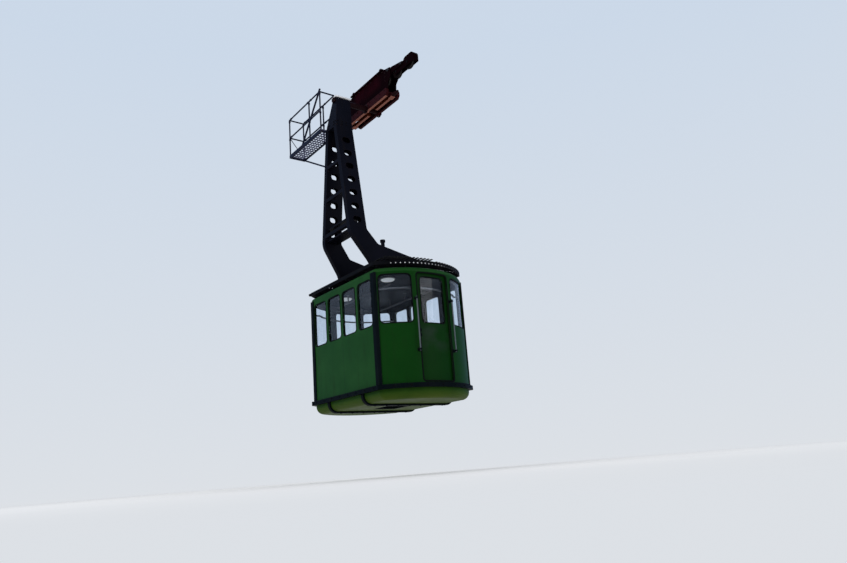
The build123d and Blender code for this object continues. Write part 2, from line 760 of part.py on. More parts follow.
with BuildPart() as handrail_brackets:
    for end in (1, -1):
        for turn in (1, -1):
            for height in (rail_bar_bottom + rail_foot_inset, rail_bar_top - rail_foot_inset):
                with Locations(bow_plane(turn * rail_bar_angle, height, end)):
                    Cylinder(rail_foot_radius, rail_bar_out + rail_bar_radius + rail_foot_cap,
                             align=(Align.CENTER, Align.CENTER, Align.MIN))
            x, y = bow_point(turn * rail_bar_angle, -rail_bar_out, end)
            with Locations((x, y, level(rail_bar_bottom))):
                Cylinder(rail_bar_radius, rail_bar_top - rail_bar_bottom,
                         align=(Align.CENTER, Align.CENTER, Align.MIN), mode=Mode.SUBTRACT)
handrail_brackets.part.label = "handrail_brackets"
export_step(handrail_brackets.part, "parts/handrail_brackets.step")

# Grab rails inside: a bowed one at each end and two straight ones under the ceiling
with BuildPart() as inner_rails:
    inner_r = bow_radius - inner_rail_inset
    inner_angle = math.degrees(math.acos((inner_rail_end_x - bow_centre_x) / inner_r))
    inner_y = inner_r * math.sin(math.radians(inner_angle))
    for end in (1, -1):
        with BuildSketch(Plane.XY.offset(level(inner_rail_level - inner_rail_radius))):
            add(sector(inner_rail_inset + inner_rail_radius, inner_rail_inset - inner_rail_radius,
                       -inner_angle, inner_angle, end))
            with Locations(*[(end * inner_rail_end_x, side * (inner_y + half_width - wall) / 2) for side in (1, -1)]):
                Rectangle(2 * inner_rail_radius, half_width - wall - inner_y)
        extrude(amount=2 * inner_rail_radius)
    for side in (1, -1):
        with Locations((0, side * ceiling_bar_y, level(ceiling_bar_level))):
            Cylinder(inner_rail_radius, 2 * ceiling_bar_half_length, rotation=(0, 90, 0))
        for x in ceiling_bar_x:
            with Locations((x, side * ceiling_bar_y, level(ceiling_bar_level))):
                Cylinder(inner_rail_radius, roof_ceiling - ceiling_bar_level,
                         align=(Align.CENTER, Align.CENTER, Align.MIN))
inner_rails.part.label = "inner_rails"
export_step(inner_rails.part, "parts/inner_rails.step")

# Hanger legs: two perforated box legs in planes that splay towards the feet
leg_cos = math.cos(math.atan(leg_splay))
leg_normal = (leg_cos, 0, leg_splay * leg_cos)
leg_plane = Plane(origin=(splay_at(head_joint), 0, level(head_joint)), x_dir=(0, 1, 0), z_dir=leg_normal)


def leg_point(y, height):
    return (y, (height - head_joint) / leg_cos)


leg_top = head_joint + leg_top_trim
leg_bottom = leg_foot_level - leg_foot_trim
leg_edge = [(leg_inner_y, leg_top)] + leg_inner_path + [(leg_toe_y, leg_toe_level), (leg_toe_y, leg_bottom)]
leg_edge += [(leg_outer_path[0][0] + leg_foot_trim / 3, leg_bottom)] + leg_outer_path[1:] + [(leg_outer_y, leg_top)]
leg_hole_y = (leg_outer_y + leg_inner_y) / 2

with BuildPart() as hanger_legs:
    with BuildSketch(leg_plane) as leg_sketch:
        with BuildLine():
            Polyline([leg_point(y, h) for y, h in leg_edge], close=True)
        make_face()
        bends = [leg_point(y, h) for y, h in leg_inner_path[:-1]]
        fillet([v for v in leg_sketch.vertices() if any(math.dist((v.X, v.Y), b) < 1.0 for b in bends)], leg_bend_radius)
        bends = [leg_point(y, h) for y, h in leg_outer_path[1:]]
        fillet([v for v in leg_sketch.vertices() if any(math.dist((v.X, v.Y), b) < 1.0 for b in bends)],
               leg_outer_bend_radius)
    extrude(amount=leg_half_depth, both=True)
    with BuildSketch(leg_plane):
        offset(leg_sketch.sketch_local, amount=-leg_flange)
    extrude(amount=leg_half_depth - leg_web, both=True, mode=Mode.SUBTRACT)
    with BuildSketch(leg_plane):
        with Locations(*[leg_point(leg_hole_y, leg_hole_lowest + leg_hole_pitch * i) for i in range(leg_hole_count)]):
            SlotOverall(leg_hole_length, leg_hole_height)
    extrude(amount=2 * leg_half_depth, both=True, mode=Mode.SUBTRACT)
    with BuildSketch(Plane.XY.offset(level(leg_foot_level))):
        Rectangle(8 * half_width, 8 * half_width)
    extrude(amount=-8 * leg_foot_trim, mode=Mode.SUBTRACT)
    with BuildSketch(Plane.XY.offset(level(head_joint))):
        Rectangle(8 * half_width, 8 * half_width)
    extrude(amount=8 * leg_foot_trim, mode=Mode.SUBTRACT)
    mirror(about=Plane.YZ)
hanger_legs.part.label = "hanger_legs"
export_step(hanger_legs.part, "parts/hanger_legs.step")

# Foot plates bolted to the roof, with their bolts
leg_foot_half = leg_half_depth / leg_cos
with BuildPart() as hanger_feet:
    foot_y0 = leg_outer_path[0][0] - foot_plate_margin
    foot_y1 = leg_toe_y + foot_plate_margin
    with BuildSketch(Plane.XY.offset(level(leg_foot_level))):
        with Locations(*[(s * foot_x, (foot_y0 + foot_y1) / 2) for s in (1, -1)]):
            Rectangle(2 * foot_plate_half_width, foot_y1 - foot_y0)
    extrude(amount=-foot_plate_thickness)
    bolt_count = int((foot_y1 - foot_y0 - 2 * foot_bolt_margin) // foot_bolt_pitch)
    with BuildSketch(Plane.XY.offset(level(leg_foot_level))):
        with Locations(*[(s * foot_x + t * foot_bolt_x, (foot_y0 + foot_y1) / 2 + foot_bolt_pitch * (i - bolt_count / 2))
                         for s in (1, -1) for t in (1, -1) for i in range(bolt_count + 1)]):
            RegularPolygon(foot_bolt_radius, 6)
    extrude(amount=foot_bolt_height)
hanger_feet.part.label = "hanger_feet"
export_step(hanger_feet.part, "parts/hanger_feet.step")

# Rungs and tie plates between the two legs
with BuildPart() as hanger_ties:
    leg_side = leg_half_depth / leg_cos
    rung_y = leg_outer_y + rung_inset
    tie_outer_y = leg_outer_y + tie_outer_inset
    tie_inner_y = leg_inner_y - tie_inner_inset
    for middle in rung_levels:
        with BuildSketch(Plane.XZ.offset(-rung_y - rung_depth / 2)):
            with BuildLine():
                lo, hi = middle - rung_height / 2, middle + rung_height / 2
                Polyline([(-splay_at(lo) + leg_side, level(lo)), (splay_at(lo) - leg_side, level(lo)),
                          (splay_at(hi) - leg_side, level(hi)), (-splay_at(hi) + leg_side, level(hi))], close=True)
            make_face()
        extrude(amount=rung_depth)
    for middle in tie_levels:
        with BuildSketch(Plane.XZ.offset(-tie_inner_y)):
            with BuildLine():
                lo, hi = middle - tie_thickness / 2, middle + tie_thickness / 2
                Polyline([(-splay_at(lo) + leg_side, level(lo)), (splay_at(lo) - leg_side, level(lo)),
                          (splay_at(hi) - leg_side, level(hi)), (-splay_at(hi) + leg_side, level(hi))], close=True)
            make_face()
        extrude(amount=tie_inner_y - tie_outer_y)
hanger_ties.part.label = "hanger_ties"
export_step(hanger_ties.part, "parts/hanger_ties.step")


def head_half_at(height):
    base = splay_at(head_joint) + leg_side
    return base + (head_top_half_length - base) * (height - head_joint) / (head_top - head_joint)


# Hanger head: tapered box over the legs with the hub that turns on the pivot shaft
with BuildPart() as hanger_head:
    with BuildSketch(Plane.YZ) as head_side:
        with BuildLine():
            Polyline([(leg_outer_y, level(head_joint)), (leg_inner_y, level(head_joint)),
                      (head_inner_y_top, level(head_top)), (head_outer_y_top, level(head_top))], close=True)
        make_face()
    extrude(amount=2 * half_width, both=True)
    with BuildSketch(Plane.XZ) as head_front:
        base = head_half_at(head_joint)
        shoulder = head_half_at(head_top)
        with BuildLine():
            Polyline([(-base, level(head_joint)), (base, level(head_joint)), (shoulder, level(head_top)),
                      (-shoulder, level(head_top))], close=True)
        make_face()
        fillet(head_front.vertices().group_by(Axis.Y)[-1], head_top_radius)
    extrude(amount=2 * half_width, both=True, mode=Mode.INTERSECT)
    with BuildPart(mode=Mode.PRIVATE) as head_room:
        with BuildSketch(Plane.YZ):
            offset(head_side.sketch_local, amount=-head_wall)
        extrude(amount=2 * half_width, both=True)
        with BuildSketch(Plane.XZ):
            offset(head_front.sketch_local, amount=-head_wall)
        extrude(amount=2 * half_width, both=True, mode=Mode.INTERSECT)
    add(head_room.part, mode=Mode.SUBTRACT)
    with BuildSketch(Plane.XZ.offset(-head_inner_y_top - hub_side_reach)):
        with Locations((0, pivot_z)):
            Circle(hub_radius)
    extrude(amount=head_inner_y_top - head_outer_y_top + hub_side_reach + hub_outer_reach)
    with BuildSketch(Plane.XZ.offset(-head_inner_y_top - hub_side_reach)):
        with Locations((0, pivot_z)):
            Circle(pivot_radius + pivot_clearance)
    extrude(amount=head_inner_y_top - head_outer_y_top + hub_side_reach + hub_outer_reach, mode=Mode.SUBTRACT)
hanger_head.part.label = "hanger_head"
export_step(hanger_head.part, "parts/hanger_head.step")

# Capped vent post on the near foot
with BuildPart() as vent_body:
    with Locations((splay_at(vent_foot_level), vent_y, level(vent_foot_level - vent_sink))):
        Cylinder(vent_radius, vent_height, align=(Align.CENTER, Align.CENTER, Align.MIN))
    with Locations((splay_at(vent_foot_level), vent_y, level(vent_foot_level - vent_sink + vent_height))):
        Cylinder(vent_cap_radius, vent_cap_height, align=(Align.CENTER, Align.CENTER, Align.MIN))
    add(hanger_legs.part, mode=Mode.SUBTRACT)

with BuildPart() as foot_vent:
    add(vent_body.part.solids().sort_by(SortBy.VOLUME)[-1])
foot_vent.part.label = "foot_vent"
export_step(foot_vent.part, "parts/foot_vent.step")


def tube(a, b, radius):
    start = Vector(*a)
    run = Vector(*b) - start
    with BuildPart() as bar:
        with BuildSketch(Plane(origin=start, z_dir=run)):
            Circle(radius)
        extrude(amount=run.length)
    return bar.part


floor_z = level(platform_floor_level)
top_z = floor_z + platform_top_rail
mid_z = floor_z + platform_mid_rail
bar_y0 = platform_outer_y + platform_bar / 2
bar_y1 = platform_inner_y - platform_bar / 2
platform_near_x = -head_half_at(platform_floor_level - platform_bar)

# Platform frame: two long bars, cross bars, toe boards and the brace down to the leg
with BuildPart() as platform_frame:
    with BuildSketch(Plane.XY.offset(floor_z)):
        with Locations(*[((platform_far_x + platform_near_x) / 2, y) for y in (bar_y0, bar_y1)]):
            Rectangle(platform_near_x - platform_far_x, platform_bar)
        with Locations(*[(x, (bar_y0 + bar_y1) / 2)
                         for x in (platform_far_x + platform_bar / 2, platform_near_x - platform_bar / 2)]):
            Rectangle(platform_bar, bar_y1 - bar_y0)
    extrude(amount=-platform_bar)
    with BuildSketch(Plane.XY.offset(floor_z)):
        with Locations(((platform_far_x + platform_near_x) / 2, platform_outer_y + platform_toe_thickness / 2)):
            Rectangle(platform_near_x - platform_far_x, platform_toe_thickness)
        with Locations((platform_far_x + platform_toe_thickness / 2, (platform_outer_y + platform_inner_y) / 2)):
            Rectangle(platform_toe_thickness, platform_inner_y - platform_outer_y)
    extrude(amount=platform_toe_height)
    brace_top = (platform_far_x + platform_bar, bar_y1, floor_z - platform_bar / 2)
    far_leg_face = Plane(origin=(-splay_at(brace_foot_level), bar_y1, level(brace_foot_level)), x_dir=(0, 1, 0),
                         z_dir=(-leg_cos, 0, leg_splay * leg_cos)).offset(leg_half_depth)
    with BuildSketch(far_leg_face):
        Rectangle(brace_pad, brace_pad)
    extrude(amount=brace_pad_thickness)
    brace_foot = far_leg_face.offset(brace_pad_thickness / 2).origin
    add(tube(brace_top, brace_foot, brace_tube))
    add(hanger_legs.part, mode=Mode.SUBTRACT)
platform_frame.part.label = "platform_frame"
export_step(platform_frame.part, "parts/platform_frame.step")

# Grating of the platform: long flats and cross flats
with BuildPart() as platform_grating:
    grate_x0 = platform_far_x + platform_toe_thickness
    grate_y0 = platform_outer_y + platform_toe_thickness
    grate_y1 = platform_inner_y
    with BuildSketch(Plane.XY.offset(floor_z)):
        with Locations(*[((grate_x0 + platform_near_x) / 2,
                          grate_y0 + platform_grate_bar / 2 + (grate_y1 - grate_y0 - platform_grate_bar) * i
                          / (platform_grate_lines - 1)) for i in range(platform_grate_lines)]):
            Rectangle(platform_near_x - grate_x0, platform_grate_bar)
        with Locations(*[(grate_x0 + platform_grate_bar / 2 + (platform_near_x - grate_x0 - platform_grate_bar) * i
                          / (platform_grate_rows - 1), (grate_y0 + grate_y1) / 2)
                         for i in range(platform_grate_rows)]):
            Rectangle(platform_grate_bar, grate_y1 - grate_y0)
    extrude(amount=platform_grate_height)
platform_grating.part.label = "platform_grating"
export_step(platform_grating.part, "parts/platform_grating.step")

# Railing of the platform: posts, top and middle rails and the long stay
with BuildPart() as platform_railing:
    for y in (bar_y0, bar_y1):
        for x in platform_post_x:
            add(tube((x, y, floor_z), (x, y, top_z), platform_tube))
        for z in (mid_z, top_z):
            add(tube((platform_post_x[0], y, z), (platform_post_x[-1], y, z), platform_tube))
    for z in (mid_z, top_z):
        add(tube((platform_post_x[0], bar_y0, z), (platform_post_x[0], bar_y1, z), platform_tube))
    add(tube((platform_post_x[-1], bar_y0, top_z), (platform_post_x[-1], bar_y1, top_z), platform_tube))
    add(tube((platform_stay_foot_x, bar_y0, floor_z + platform_stay_tube),
             (platform_post_x[-1] + platform_stay_tube, bar_y0, top_z + platform_stay_rise), platform_stay_tube))
    add(tube((platform_post_x[0], bar_y0, mid_z), (platform_post_x[0], bar_y1, floor_z + platform_tube),
             platform_tube / 2))
    add(platform_grating.part, mode=Mode.SUBTRACT)
    add(platform_frame.part, mode=Mode.SUBTRACT)
platform_railing.part.label = "platform_railing"
export_step(platform_railing.part, "parts/platform_railing.step")

# Track wheels: a grooved liner ring clamped between two flanged discs, each with half of the hub
wheel_x = [wheel_spacing * (i - wheels_per_side + 0.5) for i in range(2 * wheels_per_side)]


def track_wheel(x):
    seat = wheel_half_gauge
    joint = wheel_joint_gap / 2
    bore = wheel_axle_radius + wheel_bore_clearance
    spigot = wheel_liner_inner_radius - wheel_joint_gap
    disc = [(joint, bore), (joint, spigot), (seat, spigot),
            (seat, wheel_flange_radius - wheel_flange_bevel), (seat + wheel_disc_thickness / 2, wheel_flange_radius),
            (seat + wheel_disc_thickness, wheel_flange_radius),
            (seat + wheel_disc_thickness, wheel_liner_inner_radius), (seat, spigot - wheel_spigot_wall),
            (seat, wheel_hub_radius), (wheel_hub_width / 2, wheel_hub_radius), (wheel_hub_width / 2, bore)]
    edge = wheel_half_gauge - wheel_joint_gap
    liner = [(0.0, wheel_tread_radius), (edge, wheel_tread_radius + wheel_groove_depth),
             (edge, wheel_liner_inner_radius), (-edge, wheel_liner_inner_radius),
             (-edge, wheel_tread_radius + wheel_groove_depth)]
    with BuildPart() as wheel:
        for profile in (disc, [(-a, b) for a, b in disc], liner):
            with BuildSketch(Plane.YZ):
                with BuildLine():
                    Polyline(profile, close=True)
                make_face()
            revolve(axis=Axis.Y)
    return Location((x, 0, wheel_axle_z)) * wheel.part


with BuildPart() as track_wheel_1:
    add(track_wheel(wheel_x[0]))
track_wheel_1.part.label = "track_wheel_1"
export_step(track_wheel_1.part, "parts/track_wheel_1.step")

with BuildPart() as track_wheel_2:
    add(track_wheel(wheel_x[1]))
track_wheel_2.part.label = "track_wheel_2"
export_step(track_wheel_2.part, "parts/track_wheel_2.step")

with BuildPart() as track_wheel_3:
    add(track_wheel(wheel_x[2]))
track_wheel_3.part.label = "track_wheel_3"
export_step(track_wheel_3.part, "parts/track_wheel_3.step")

with BuildPart() as track_wheel_4:
    add(track_wheel(wheel_x[3]))
track_wheel_4.part.label = "track_wheel_4"
export_step(track_wheel_4.part, "parts/track_wheel_4.step")

with BuildPart() as track_wheel_5:
    add(track_wheel(wheel_x[4]))
track_wheel_5.part.label = "track_wheel_5"
export_step(track_wheel_5.part, "parts/track_wheel_5.step")

with BuildPart() as track_wheel_6:
    add(track_wheel(wheel_x[5]))
track_wheel_6.part.label = "track_wheel_6"
export_step(track_wheel_6.part, "parts/track_wheel_6.step")

with BuildPart() as track_wheel_7:
    add(track_wheel(wheel_x[6]))
track_wheel_7.part.label = "track_wheel_7"
export_step(track_wheel_7.part, "parts/track_wheel_7.step")

with BuildPart() as track_wheel_8:
    add(track_wheel(wheel_x[7]))
track_wheel_8.part.label = "track_wheel_8"
export_step(track_wheel_8.part, "parts/track_wheel_8.step")

rocker_x = [wheel_spacing * k for k in (-3, -1, 1, 3)]
equalizer_x = [-2 * wheel_spacing, 2 * wheel_spacing]

# Rockers: pairs of plates that join two wheels and hang on a pin above
with BuildPart() as rockers:
    rocker_outer_y = rocker_inner_y + rocker_plate_thickness
    for sign in (1, -1):
        with BuildSketch(Plane.XZ.offset(-rocker_inner_y * sign)):
            for x in rocker_x:
                with BuildLine():
                    Polyline([(x - wheel_spacing / 2 - rocker_foot_reach, wheel_axle_z - rocker_end_radius),
                              (x + wheel_spacing / 2 + rocker_foot_reach, wheel_axle_z - rocker_end_radius),
                              (x + wheel_spacing / 2 + rocker_end_radius, wheel_axle_z),
                              (x + rocker_pin_half_height, rocker_pin_z + rocker_pin_half_height),
                              (x - rocker_pin_half_height, rocker_pin_z + rocker_pin_half_height),
                              (x - wheel_spacing / 2 - rocker_end_radius, wheel_axle_z)], close=True)
                make_face()
        extrude(amount=-rocker_plate_thickness * sign)
        with BuildSketch(Plane.XZ.offset(-rocker_inner_y * sign)):
            with Locations(*[(x, wheel_axle_z) for x in wheel_x]):
                Circle(wheel_axle_radius + pin_fit)
            with Locations(*[(x, rocker_pin_z) for x in rocker_x]):
                Circle(rocker_pin_radius + pin_fit)
        extrude(amount=-rocker_plate_thickness * sign, mode=Mode.SUBTRACT)
rockers.part.label = "rockers"
export_step(rockers.part, "parts/rockers.step")

# Equalizers: pairs of beams over two rockers, hung on the main pins of the frame
with BuildPart() as equalizers:
    equalizer_outer_y = equalizer_inner_y + equalizer_plate_thickness
    for sign in (1, -1):
        with BuildSketch(Plane.XZ.offset(-equalizer_inner_y * sign)):
            for x in equalizer_x:
                half = wheel_spacing + equalizer_end_reach
                low = rocker_pin_z - equalizer_below_pin
                high = rocker_pin_z + equalizer_above_pin
                crown = equalizer_pin_z + equalizer_crown
                with BuildLine():
                    Polyline([(x - half, low), (x + half, low), (x + half, high),
                              (x + equalizer_crown_half_length, crown), (x - equalizer_crown_half_length, crown),
                              (x - half, high)], close=True)
                make_face()
        extrude(amount=-equalizer_plate_thickness * sign)
        with BuildSketch(Plane.XZ.offset(-equalizer_inner_y * sign)):
            with Locations(*[(x, rocker_pin_z) for x in rocker_x]):
                Circle(rocker_pin_radius + pin_fit)
            with Locations(*[(x, equalizer_pin_z) for x in equalizer_x]):
                Circle(equalizer_pin_radius + pin_fit)
        extrude(amount=-equalizer_plate_thickness * sign, mode=Mode.SUBTRACT)
equalizers.part.label = "equalizers"
export_step(equalizers.part, "parts/equalizers.step")

# Axles of the wheels, pins of the rockers and of the equalizers
frame_outer_y = frame_plate_inner_y + frame_plate_thickness
with BuildPart() as axles_and_pins:
    with BuildSketch(Plane.XZ.offset(-rocker_outer_y)):
        with Locations(*[(x, wheel_axle_z) for x in wheel_x]):
            Circle(wheel_axle_radius)
    extrude(amount=2 * rocker_outer_y)
    with BuildSketch(Plane.XZ.offset(-equalizer_outer_y - pin_head_length)):
        with Locations(*[(x, rocker_pin_z) for x in rocker_x]):
            Circle(rocker_pin_radius)
    extrude(amount=2 * equalizer_outer_y + 2 * pin_head_length)
    with BuildSketch(Plane.XZ.offset(-frame_outer_y - pin_head_length)):
        with Locations(*[(x, equalizer_pin_z) for x in equalizer_x]):
            Circle(equalizer_pin_radius)
    extrude(amount=2 * frame_outer_y + 2 * pin_head_length)
axles_and_pins.part.label = "axles_and_pins"
export_step(axles_and_pins.part, "parts/axles_and_pins.step")

# Carriage frame: two side plates with cross tubes
frame_edge = [(frame_bottom_half_length, frame_bottom_z), (frame_waist_half_length, frame_waist_z),
              (frame_ear_half_length, frame_ear_bottom_z), (frame_ear_half_length, frame_ear_top_z),
              (frame_top_half_length, frame_top_z)]
with BuildPart() as carriage_frame:
    for sign in (1, -1):
        with BuildSketch(Plane.XZ.offset(-frame_plate_inner_y * sign)):
            with BuildLine():
                Polyline(frame_edge + [(-x, z) for x, z in reversed(frame_edge)], close=True)
            make_face()
            with Locations(*[(x, equalizer_pin_z) for x in equalizer_x]):
                Circle(equalizer_pin_radius + pin_fit, mode=Mode.SUBTRACT)
        extrude(amount=-frame_plate_thickness * sign)
    with BuildSketch(Plane.XZ.offset(-frame_plate_inner_y)):
        with Locations(*[(s * x, z) for s in (1, -1) for x, z in frame_tube_places]):
            Circle(frame_tube_radius)
    extrude(amount=2 * frame_plate_inner_y)
carriage_frame.part.label = "carriage_frame"
export_step(carriage_frame.part, "parts/carriage_frame.step")

# Cover along the top of the frame, with a roller lug near each end
with BuildPart() as frame_cover:
    with BuildSketch(Plane.XY.offset(frame_top_z)):
        Rectangle(2 * cover_half_length, 2 * cover_half_width)
    extrude(amount=cover_height)
    fillet(frame_cover.edges().group_by(Axis.Z)[-1], cover_edge_radius)
    with BuildSketch(Plane.XY.offset(frame_top_z)):
        Rectangle(2 * (cover_half_length - cover_wall), 2 * (frame_plate_inner_y - cover_wall))
    extrude(amount=cover_height - cover_wall, mode=Mode.SUBTRACT)
    with BuildSketch(Plane.XZ.offset(-lug_half_width)):
        with Locations((lug_x, frame_top_z + lug_rise), (-lug_x, frame_top_z + lug_rise)):
            Circle(lug_radius)
    extrude(amount=2 * lug_half_width)
    with BuildSketch(Plane.XY.offset(frame_top_z)):
        Rectangle(4 * cover_half_length, 4 * cover_half_width)
    extrude(amount=-2 * lug_radius, mode=Mode.SUBTRACT)
frame_cover.part.label = "frame_cover"
export_step(frame_cover.part, "parts/frame_cover.step")

beam_inner_y = frame_outer_y
beam_outer_y = beam_inner_y + beam_width
beam_bottom_z = beam_top_z - beam_height
beam_end_x = beam_half_length + beam_nose_length
beam_edge = [(beam_half_length, beam_bottom_z), (beam_end_x, beam_bottom_z + beam_nose_drop),
             (beam_end_x, beam_top_z - beam_flange), (beam_end_x - beam_nose_bevel, beam_top_z)]
haul_z = beam_bottom_z + keel_height / 2
haul_block_start = beam_end_x - haul_block_length

# Twin lower beams, hollow on the inner side, with cross plates, keel, pivot bosses and haul rope blocks
with BuildPart() as lower_beams:
    for sign in (1, -1):
        with BuildSketch(Plane.XZ.offset(-beam_inner_y * sign)):
            with BuildLine():
                Polyline(beam_edge + [(-x, z) for x, z in reversed(beam_edge)], close=True)
            make_face()
        extrude(amount=-beam_width * sign)
        with BuildSketch(Plane.XZ.offset(-beam_inner_y * sign)):
            with Locations(*[(s * (beam_half_length - beam_end_block + pivot_bearing_radius) / 2,
                              beam_top_z - beam_height / 2) for s in (1, -1)]):
                Rectangle(beam_half_length - beam_end_block - pivot_bearing_radius, beam_height - 2 * beam_flange)
        extrude(amount=-(beam_width - beam_web) * sign, mode=Mode.SUBTRACT)
        with BuildSketch(Plane.XZ.offset(-beam_inner_y * sign)):
            with Locations((0, pivot_z)):
                Circle(pivot_bearing_radius)
        extrude(amount=-beam_width * sign)
    with BuildSketch(Plane.XY.offset(beam_bottom_z + cross_plate_rise)):
        with Locations(*[(s * x, 0) for x in cross_plate_x for s in (1, -1)]):
            Rectangle(cross_plate_thickness, 2 * (beam_outer_y - beam_web))
    extrude(amount=frame_bottom_z - beam_bottom_z - cross_plate_rise)
    for sign in (1, -1):
        with BuildSketch(Plane.XY.offset(beam_bottom_z)):
            with Locations((sign * (cross_plate_x[0] + haul_block_start) / 2, 0)):
                Rectangle(haul_block_start - cross_plate_x[0], 2 * keel_half_width)
        extrude(amount=keel_height)
        with BuildSketch(Plane.YZ.offset(sign * haul_block_start)):
            with Locations((0, haul_z)):
                Rectangle(2 * haul_block_half_size, 2 * haul_block_half_size)
        extrude(amount=sign * haul_block_length)
        with BuildSketch(Plane.YZ.offset(sign * haul_block_start)):
            with Locations((0, haul_z)):
                Circle(haul_socket_radius + pin_play)
        extrude(amount=sign * haul_block_length, mode=Mode.SUBTRACT)
    with BuildSketch(Plane.XZ.offset(-beam_outer_y)):
        with Locations((0, pivot_z)):
            Circle(pivot_radius + pivot_clearance)
    extrude(amount=2 * beam_outer_y, mode=Mode.SUBTRACT)
lower_beams.part.label = "lower_beams"
export_step(lower_beams.part, "parts/lower_beams.step")

# Haul rope sockets: tapered barrels with the rope bore at their mouths
with BuildPart() as haul_sockets:
    start = haul_block_start + pin_play
    mouth = beam_end_x + haul_socket_length
    barrel = [(start, haul_z), (start, haul_z + haul_socket_radius),
              (beam_end_x + haul_socket_shoulder, haul_z + haul_socket_radius),
              (mouth, haul_z + haul_socket_mouth_radius), (mouth, haul_z + haul_bore_radius),
              (mouth - haul_bore_depth, haul_z + haul_bore_radius), (mouth - haul_bore_depth, haul_z)]
    for sign in (1, -1):
        with BuildSketch(Plane.XZ):
            with BuildLine():
                Polyline([(sign * x, z) for x, z in barrel], close=True)
            make_face()
        revolve(axis=Axis(origin=(0, 0, haul_z), direction=(1, 0, 0)))
haul_sockets.part.label = "haul_sockets"
export_step(haul_sockets.part, "parts/haul_sockets.step")

# Pivot shaft with its collar, inner end and outer cap
with BuildPart() as pivot_shaft:
    hub_inner_y = head_inner_y_top + hub_side_reach
    hub_outer_y = head_outer_y_top - hub_outer_reach
    cap_inner_y = hub_outer_y - pivot_bearing_gap
    shaft_end_y = beam_outer_y + pivot_end_collar
    with BuildSketch(Plane.XZ.offset(-shaft_end_y)):
        with Locations((0, pivot_z)):
            Circle(pivot_radius)
    extrude(amount=shaft_end_y - cap_inner_y)
    with BuildSketch(Plane.XZ.offset(beam_outer_y)):
        with Locations((0, pivot_z)):
            Circle(pivot_collar_radius)
    extrude(amount=-hub_inner_y - pivot_bearing_gap - beam_outer_y)
    with BuildSketch(Plane.XZ.offset(-cap_inner_y)):
        with Locations((0, pivot_z)):
            Circle(pivot_cap_radius)
    extrude(amount=pivot_cap_thickness)
    with BuildSketch(Plane.XZ.offset(-shaft_end_y)):
        with Locations((0, pivot_z)):
            Circle(pivot_collar_radius)
    extrude(amount=pivot_end_collar)
pivot_shaft.part.label = "pivot_shaft"
export_step(pivot_shaft.part, "parts/pivot_shaft.step")

# Hoods around the outermost wheels, open below and towards the middle
with BuildPart() as end_hoods:
    hood_x = wheel_x[-1] + hood_beyond_axle
    hood_top_z = wheel_axle_z + wheel_flange_radius + hood_above_flange
    hood_height = hood_top_z - hood_bottom_z
    for end in (1, -1):
        with BuildSketch(Plane.XZ.offset(-rocker_outer_y - hood_plate_thickness)) as hood_side:
            with Locations((end * hood_x, hood_top_z)):
                Rectangle(2 * hood_half_length, hood_height, align=(Align.CENTER, Align.MAX))
            fillet(hood_side.vertices().group_by(Axis.Y)[-1], hood_corner_radius)
        extrude(amount=2 * (rocker_outer_y + hood_plate_thickness))
        with BuildSketch(Plane.XZ.offset(-rocker_outer_y)) as hood_room:
            with Locations((end * (hood_x - hood_plate_thickness), hood_top_z - hood_plate_thickness)):
                Rectangle(2 * hood_half_length, hood_height, align=(Align.CENTER, Align.MAX))
            outer_corner = hood_room.vertices().group_by(Axis.Y)[-1].sort_by(Axis.X)[-1 if end > 0 else 0]
            fillet(outer_corner, hood_corner_radius - hood_plate_thickness)
        extrude(amount=2 * rocker_outer_y, mode=Mode.SUBTRACT)
end_hoods.part.label = "end_hoods"
export_step(end_hoods.part, "parts/end_hoods.step")
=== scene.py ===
import json
import math

import bmesh
import bpy
from mathutils import Matrix, Vector


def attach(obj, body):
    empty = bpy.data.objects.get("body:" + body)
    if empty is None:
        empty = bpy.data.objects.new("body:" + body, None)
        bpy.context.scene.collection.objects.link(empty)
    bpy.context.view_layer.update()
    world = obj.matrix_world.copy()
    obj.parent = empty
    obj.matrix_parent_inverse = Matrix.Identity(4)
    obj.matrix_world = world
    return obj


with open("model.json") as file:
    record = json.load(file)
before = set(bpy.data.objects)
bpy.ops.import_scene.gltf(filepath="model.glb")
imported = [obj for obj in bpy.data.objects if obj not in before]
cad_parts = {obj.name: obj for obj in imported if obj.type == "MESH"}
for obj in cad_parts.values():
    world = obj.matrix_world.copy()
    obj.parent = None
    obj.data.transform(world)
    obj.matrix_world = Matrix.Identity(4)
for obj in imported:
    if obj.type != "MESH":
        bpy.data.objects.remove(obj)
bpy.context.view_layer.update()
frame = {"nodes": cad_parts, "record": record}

bl_info = {
    "name": "Cable car cabin finish",
    "version": (1, 0, 0),
    "blender": (4, 5, 0),
    "location": "View3D > Sidebar > Cable car",
    "description": "Seals, fixings, trim, finishes and studio for the cable car cabin, its hanger and its "
                   "carriage",
    "category": "Object",
}

# Bodies of the frame
CARRIAGE = "carriage"
CABIN = "hanger_and_cabin"

# Cabin: metres and degrees, with heights taken above the bumper rail
RAIL_Z = -6.515
BOW_RADIUS = 1.43219425
BOW_CENTRE_X = 0.20780575
HALF_WIDTH = 1.028
SIDE_HALF_LENGTH = 1.205
WALL = 0.04
WINDOW_BOTTOM = 1.132
SIDE_WINDOW_TOP = 2.005
SIDE_WINDOW_WIDTH = 0.478
SIDE_WINDOW_PITCH = 0.566
SIDE_WINDOW_RADIUS = 0.075
SIDE_WINDOW_X = [SIDE_WINDOW_PITCH * (i - 1.5) for i in range(4)]
CORNER_WINDOW_TOP = 2.045
CORNER_WINDOW_RADIUS = 0.085
CORNER_WINDOW_ANGLE = 30.704
CORNER_WINDOW_HALF_ANGLE = 12.309
DOOR_RECESS = 0.045
DOOR_THICKNESS = 0.035
DOOR_WINDOW_RADIUS = 0.075
DOOR_WINDOW_HALF_ANGLE = 10.994
